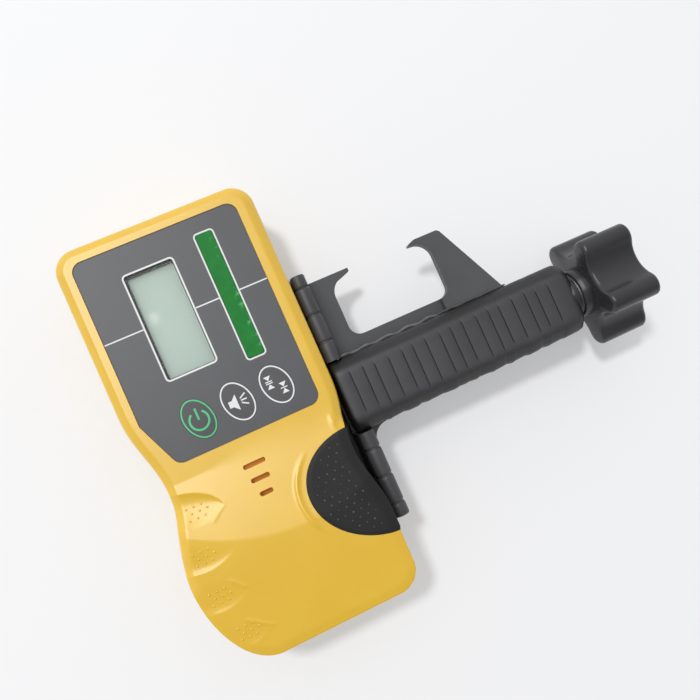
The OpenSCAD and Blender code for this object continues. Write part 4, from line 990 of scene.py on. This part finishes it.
def sleeve_lip(start, stop, wave):
    """The rolled lip above the rail and the jaw's slot: small circles along the arm, which wander as a sine, swell a
    little as two, and close at the ends as a high power."""
    x = np.linspace(start, stop, 60)[:, None]
    turn = np.linspace(0, 2 * np.pi, 10, endpoint=False)[None, :]
    ends = np.sqrt(np.maximum(1 - ((2 * x - start - stop) / (stop - start)) ** lip_blunt, 0.02))
    radius = lip_r * ends * (1 + lip_swell * np.sin(0.9 * x) * np.sin(0.37 * x + 1))
    y = arm_y + arm_w / 2 + lip_out + wave * np.sin(0.7 * x + 0.5) + radius * np.cos(turn)
    z = slot_z1 + lip_up + radius * np.sin(turn)
    return np.stack([np.broadcast_to(x, y.shape), y, z], -1)


# The rail lip's pale mottled colour is a painted highlight along the arm's edge above the rail.
lip_highlight_plastic = moulded("lip highlight", linear(112, 112, 114), linear(76, 76, 78), 0.35, 0.5, 1500, 1.6e-5, broad=300)
rail_lip = sleeve_lip(lip_start, lip_stop, lip_wave)
finish(put("sleeve_lip", *loft(rail_lip)), lip_highlight_plastic, "receiver", "black_plastic")
jaw_lip = sleeve_lip(lip_stop, jaw_high[0] + lip_past, lip_wave / 4)
finish(put("fin_lip", *loft(jaw_lip)), black_plastic, "receiver", "black_plastic")

# Jaws: two flat plates of grey-black plastic, 4 mm thick, with eased edges.
# The horn and its rail are screwed to the arm; the hooked fin slides along it and grips the rod.
jaw_plastic = moulded("jaw plastic", linear(78, 79, 82), linear(71, 72, 75), 0.42, 0.54, 2200, 1e-5)
finish(softened("fixed_jaw", "fixed_horn", ease=0.45), jaw_plastic, "receiver", "jaw_plastic", "fixed_jaw")
finish(softened("sliding_jaw", "sliding_fin", ease=0.45), jaw_plastic, "jaw", "jaw_plastic", "sliding_jaw")
dress("jaw_carriage", black_plastic)

# Knob: a five-lobed star in smooth black plastic over a brass insert, pinned to the lead screw by an end screw.
# A round collar closes the arm in front of it.
knob_plastic = moulded("knob plastic", linear(50, 50, 53), linear(44, 44, 47), 0.2, 0.3, 1500, 4e-6)
finish(softened("end_cap", "arm_collar", ease=0.5), knob_plastic, "receiver", "black_plastic", "end_cap")
knob_low, knob_high = corners("star_knob")
knob_r, lobe_r, hollow_r, hub_r, lobes, knob_count = 23.5, 4.4, 15.0, 10.0, 5, 240
knob_phase, knob_start, knob_edge = np.radians(47), 145.0, 1.8
knob_root = ((knob_low[0], hub_r - 0.5), (knob_low[0] + 0.4, hub_r - 0.05), (knob_start, hub_r))
knob_well = ((0.0, 9.0), (0.7, 8.4), (0.7, 4.2), (2.1, 4.0))


def star(turn):
    """Reach of the knob at an angle: round lobes, and round hollows that meet them smoothly."""
    step = 2 * np.pi / lobes
    t = np.abs((turn + step / 2) % step - step / 2)
    centre = knob_r - lobe_r
    ax, ay = centre * np.cos(step / 2), centre * np.sin(step / 2)
    room = hollow_r - ax
    dish_r = (ay ** 2 + room ** 2 - lobe_r ** 2) / (2 * (lobe_r - room))
    dish_c = hollow_r + dish_r
    lobe = centre * np.cos(t) + np.sqrt(np.maximum(lobe_r ** 2 - (centre * np.sin(t)) ** 2, 0))
    s = step / 2 - t
    dish = dish_c * np.cos(s) - np.sqrt(np.maximum(dish_r ** 2 - (dish_c * np.sin(s)) ** 2, 0))
    touch = np.array([ax, ay]) + (np.array([dish_c, 0]) - [ax, ay]) * lobe_r / (lobe_r + dish_r)
    switch = step / 2 - np.arctan2(touch[1], touch[0])
    return np.where(t < switch, lobe, dish)


knob_turns = np.linspace(0, 2 * np.pi, knob_count, endpoint=False)
knob_reach = star(knob_turns)


def knob_ring(x, reach):
    """One ring of the knob about the arm's axis."""
    turn = knob_turns + knob_phase
    return np.c_[np.full(knob_count, x), arm_y + reach * np.sin(turn), arm_z + reach * np.cos(turn)]


knob_round = [(knob_edge * (1 - np.sin(a)), knob_edge * (1 - np.cos(a))) for a in np.radians(np.linspace(0, 90, 7))]
knob_rings = [knob_ring(x, reach) for x, reach in knob_root]
knob_rings += [knob_ring(knob_start + step, np.maximum(knob_reach - drop, hub_r)) for step, drop in knob_round[::-1]]
knob_rings += [knob_ring(knob_high[0] - step, knob_reach - drop) for step, drop in knob_round]
knob_rings += [knob_ring(knob_high[0] - deep, reach) for deep, reach in knob_well]
finish(put("knob_body", *loft(knob_rings)), knob_plastic, "knob", "knob_plastic", "star_knob", sharp=50)

# Metal: plated steel screws, ring, washer and lead screw, spring contacts, and turned brass inserts and nut.
# They are bought parts, pressed or screwed into the mouldings.
plated_steel = moulded("plated steel", (0.48, 0.49, 0.5, 1), (0.4, 0.41, 0.42, 1), 0.28, 0.42, 900, 4e-6, broad=300)
turned_brass = moulded("turned brass", (0.66, 0.46, 0.17, 1), (0.56, 0.38, 0.13, 1), 0.26, 0.4, 900, 4e-6, broad=300)


def dress_slots(finishes):
    """Dresses every CAD node whose slot in the record has a finish here."""
    for row in frame["record"]["subparts"]:
        if row["material_slot"] in finishes:
            dress(row["node"], finishes[row["material_slot"]])


for metal in (plated_steel, turned_brass):
    adjust(metal, {"Metallic": 1.0})
dress_slots({"steel": plated_steel, "brass": turned_brass})

# Inside: green circuit boards with black parts, the buzzer, two battery cells in printed jackets and the case's seal.
# The door that closes the bay is a yellow moulding with six finger grooves.
board_green = moulded("solder mask", linear(30, 106, 58), linear(22, 88, 46), 0.25, 0.4, 1400, 6e-6, broad=220)
part_black = moulded("component black", linear(34, 34, 36), linear(26, 26, 28), 0.4, 0.55, 2200, 6e-6)
cell_jacket = moulded("cell jacket", linear(70, 84, 92), linear(58, 70, 78), 0.22, 0.34, 500, 2e-6, broad=90)
seal_rubber = moulded("seal rubber", linear(40, 40, 40), linear(32, 32, 32), 0.55, 0.7, 2600, 6e-6)
dress_slots({"circuit_board": board_green, "component_black": part_black, "cell_jacket": cell_jacket})
dress("case_seal", seal_rubber)
bay_door = softened("battery_door", "bay_door", ease=0.25)
groove_w, groove_l, groove_r, groove_pitch, groove_deep = 18.0, 1.2, 0.5, 2.6, 0.6
groove_y, groove_count = y_bottom + 8, 6
grooves = [rounded(door_x, groove_y + groove_pitch * k, groove_w, groove_l, groove_r) for k in range(groove_count)]
cut(bay_door, *prisms(grooves, z_back - clear, z_back + groove_deep))
finish(bay_door, yellow_plastic, "door", "yellow_case", "battery_door")
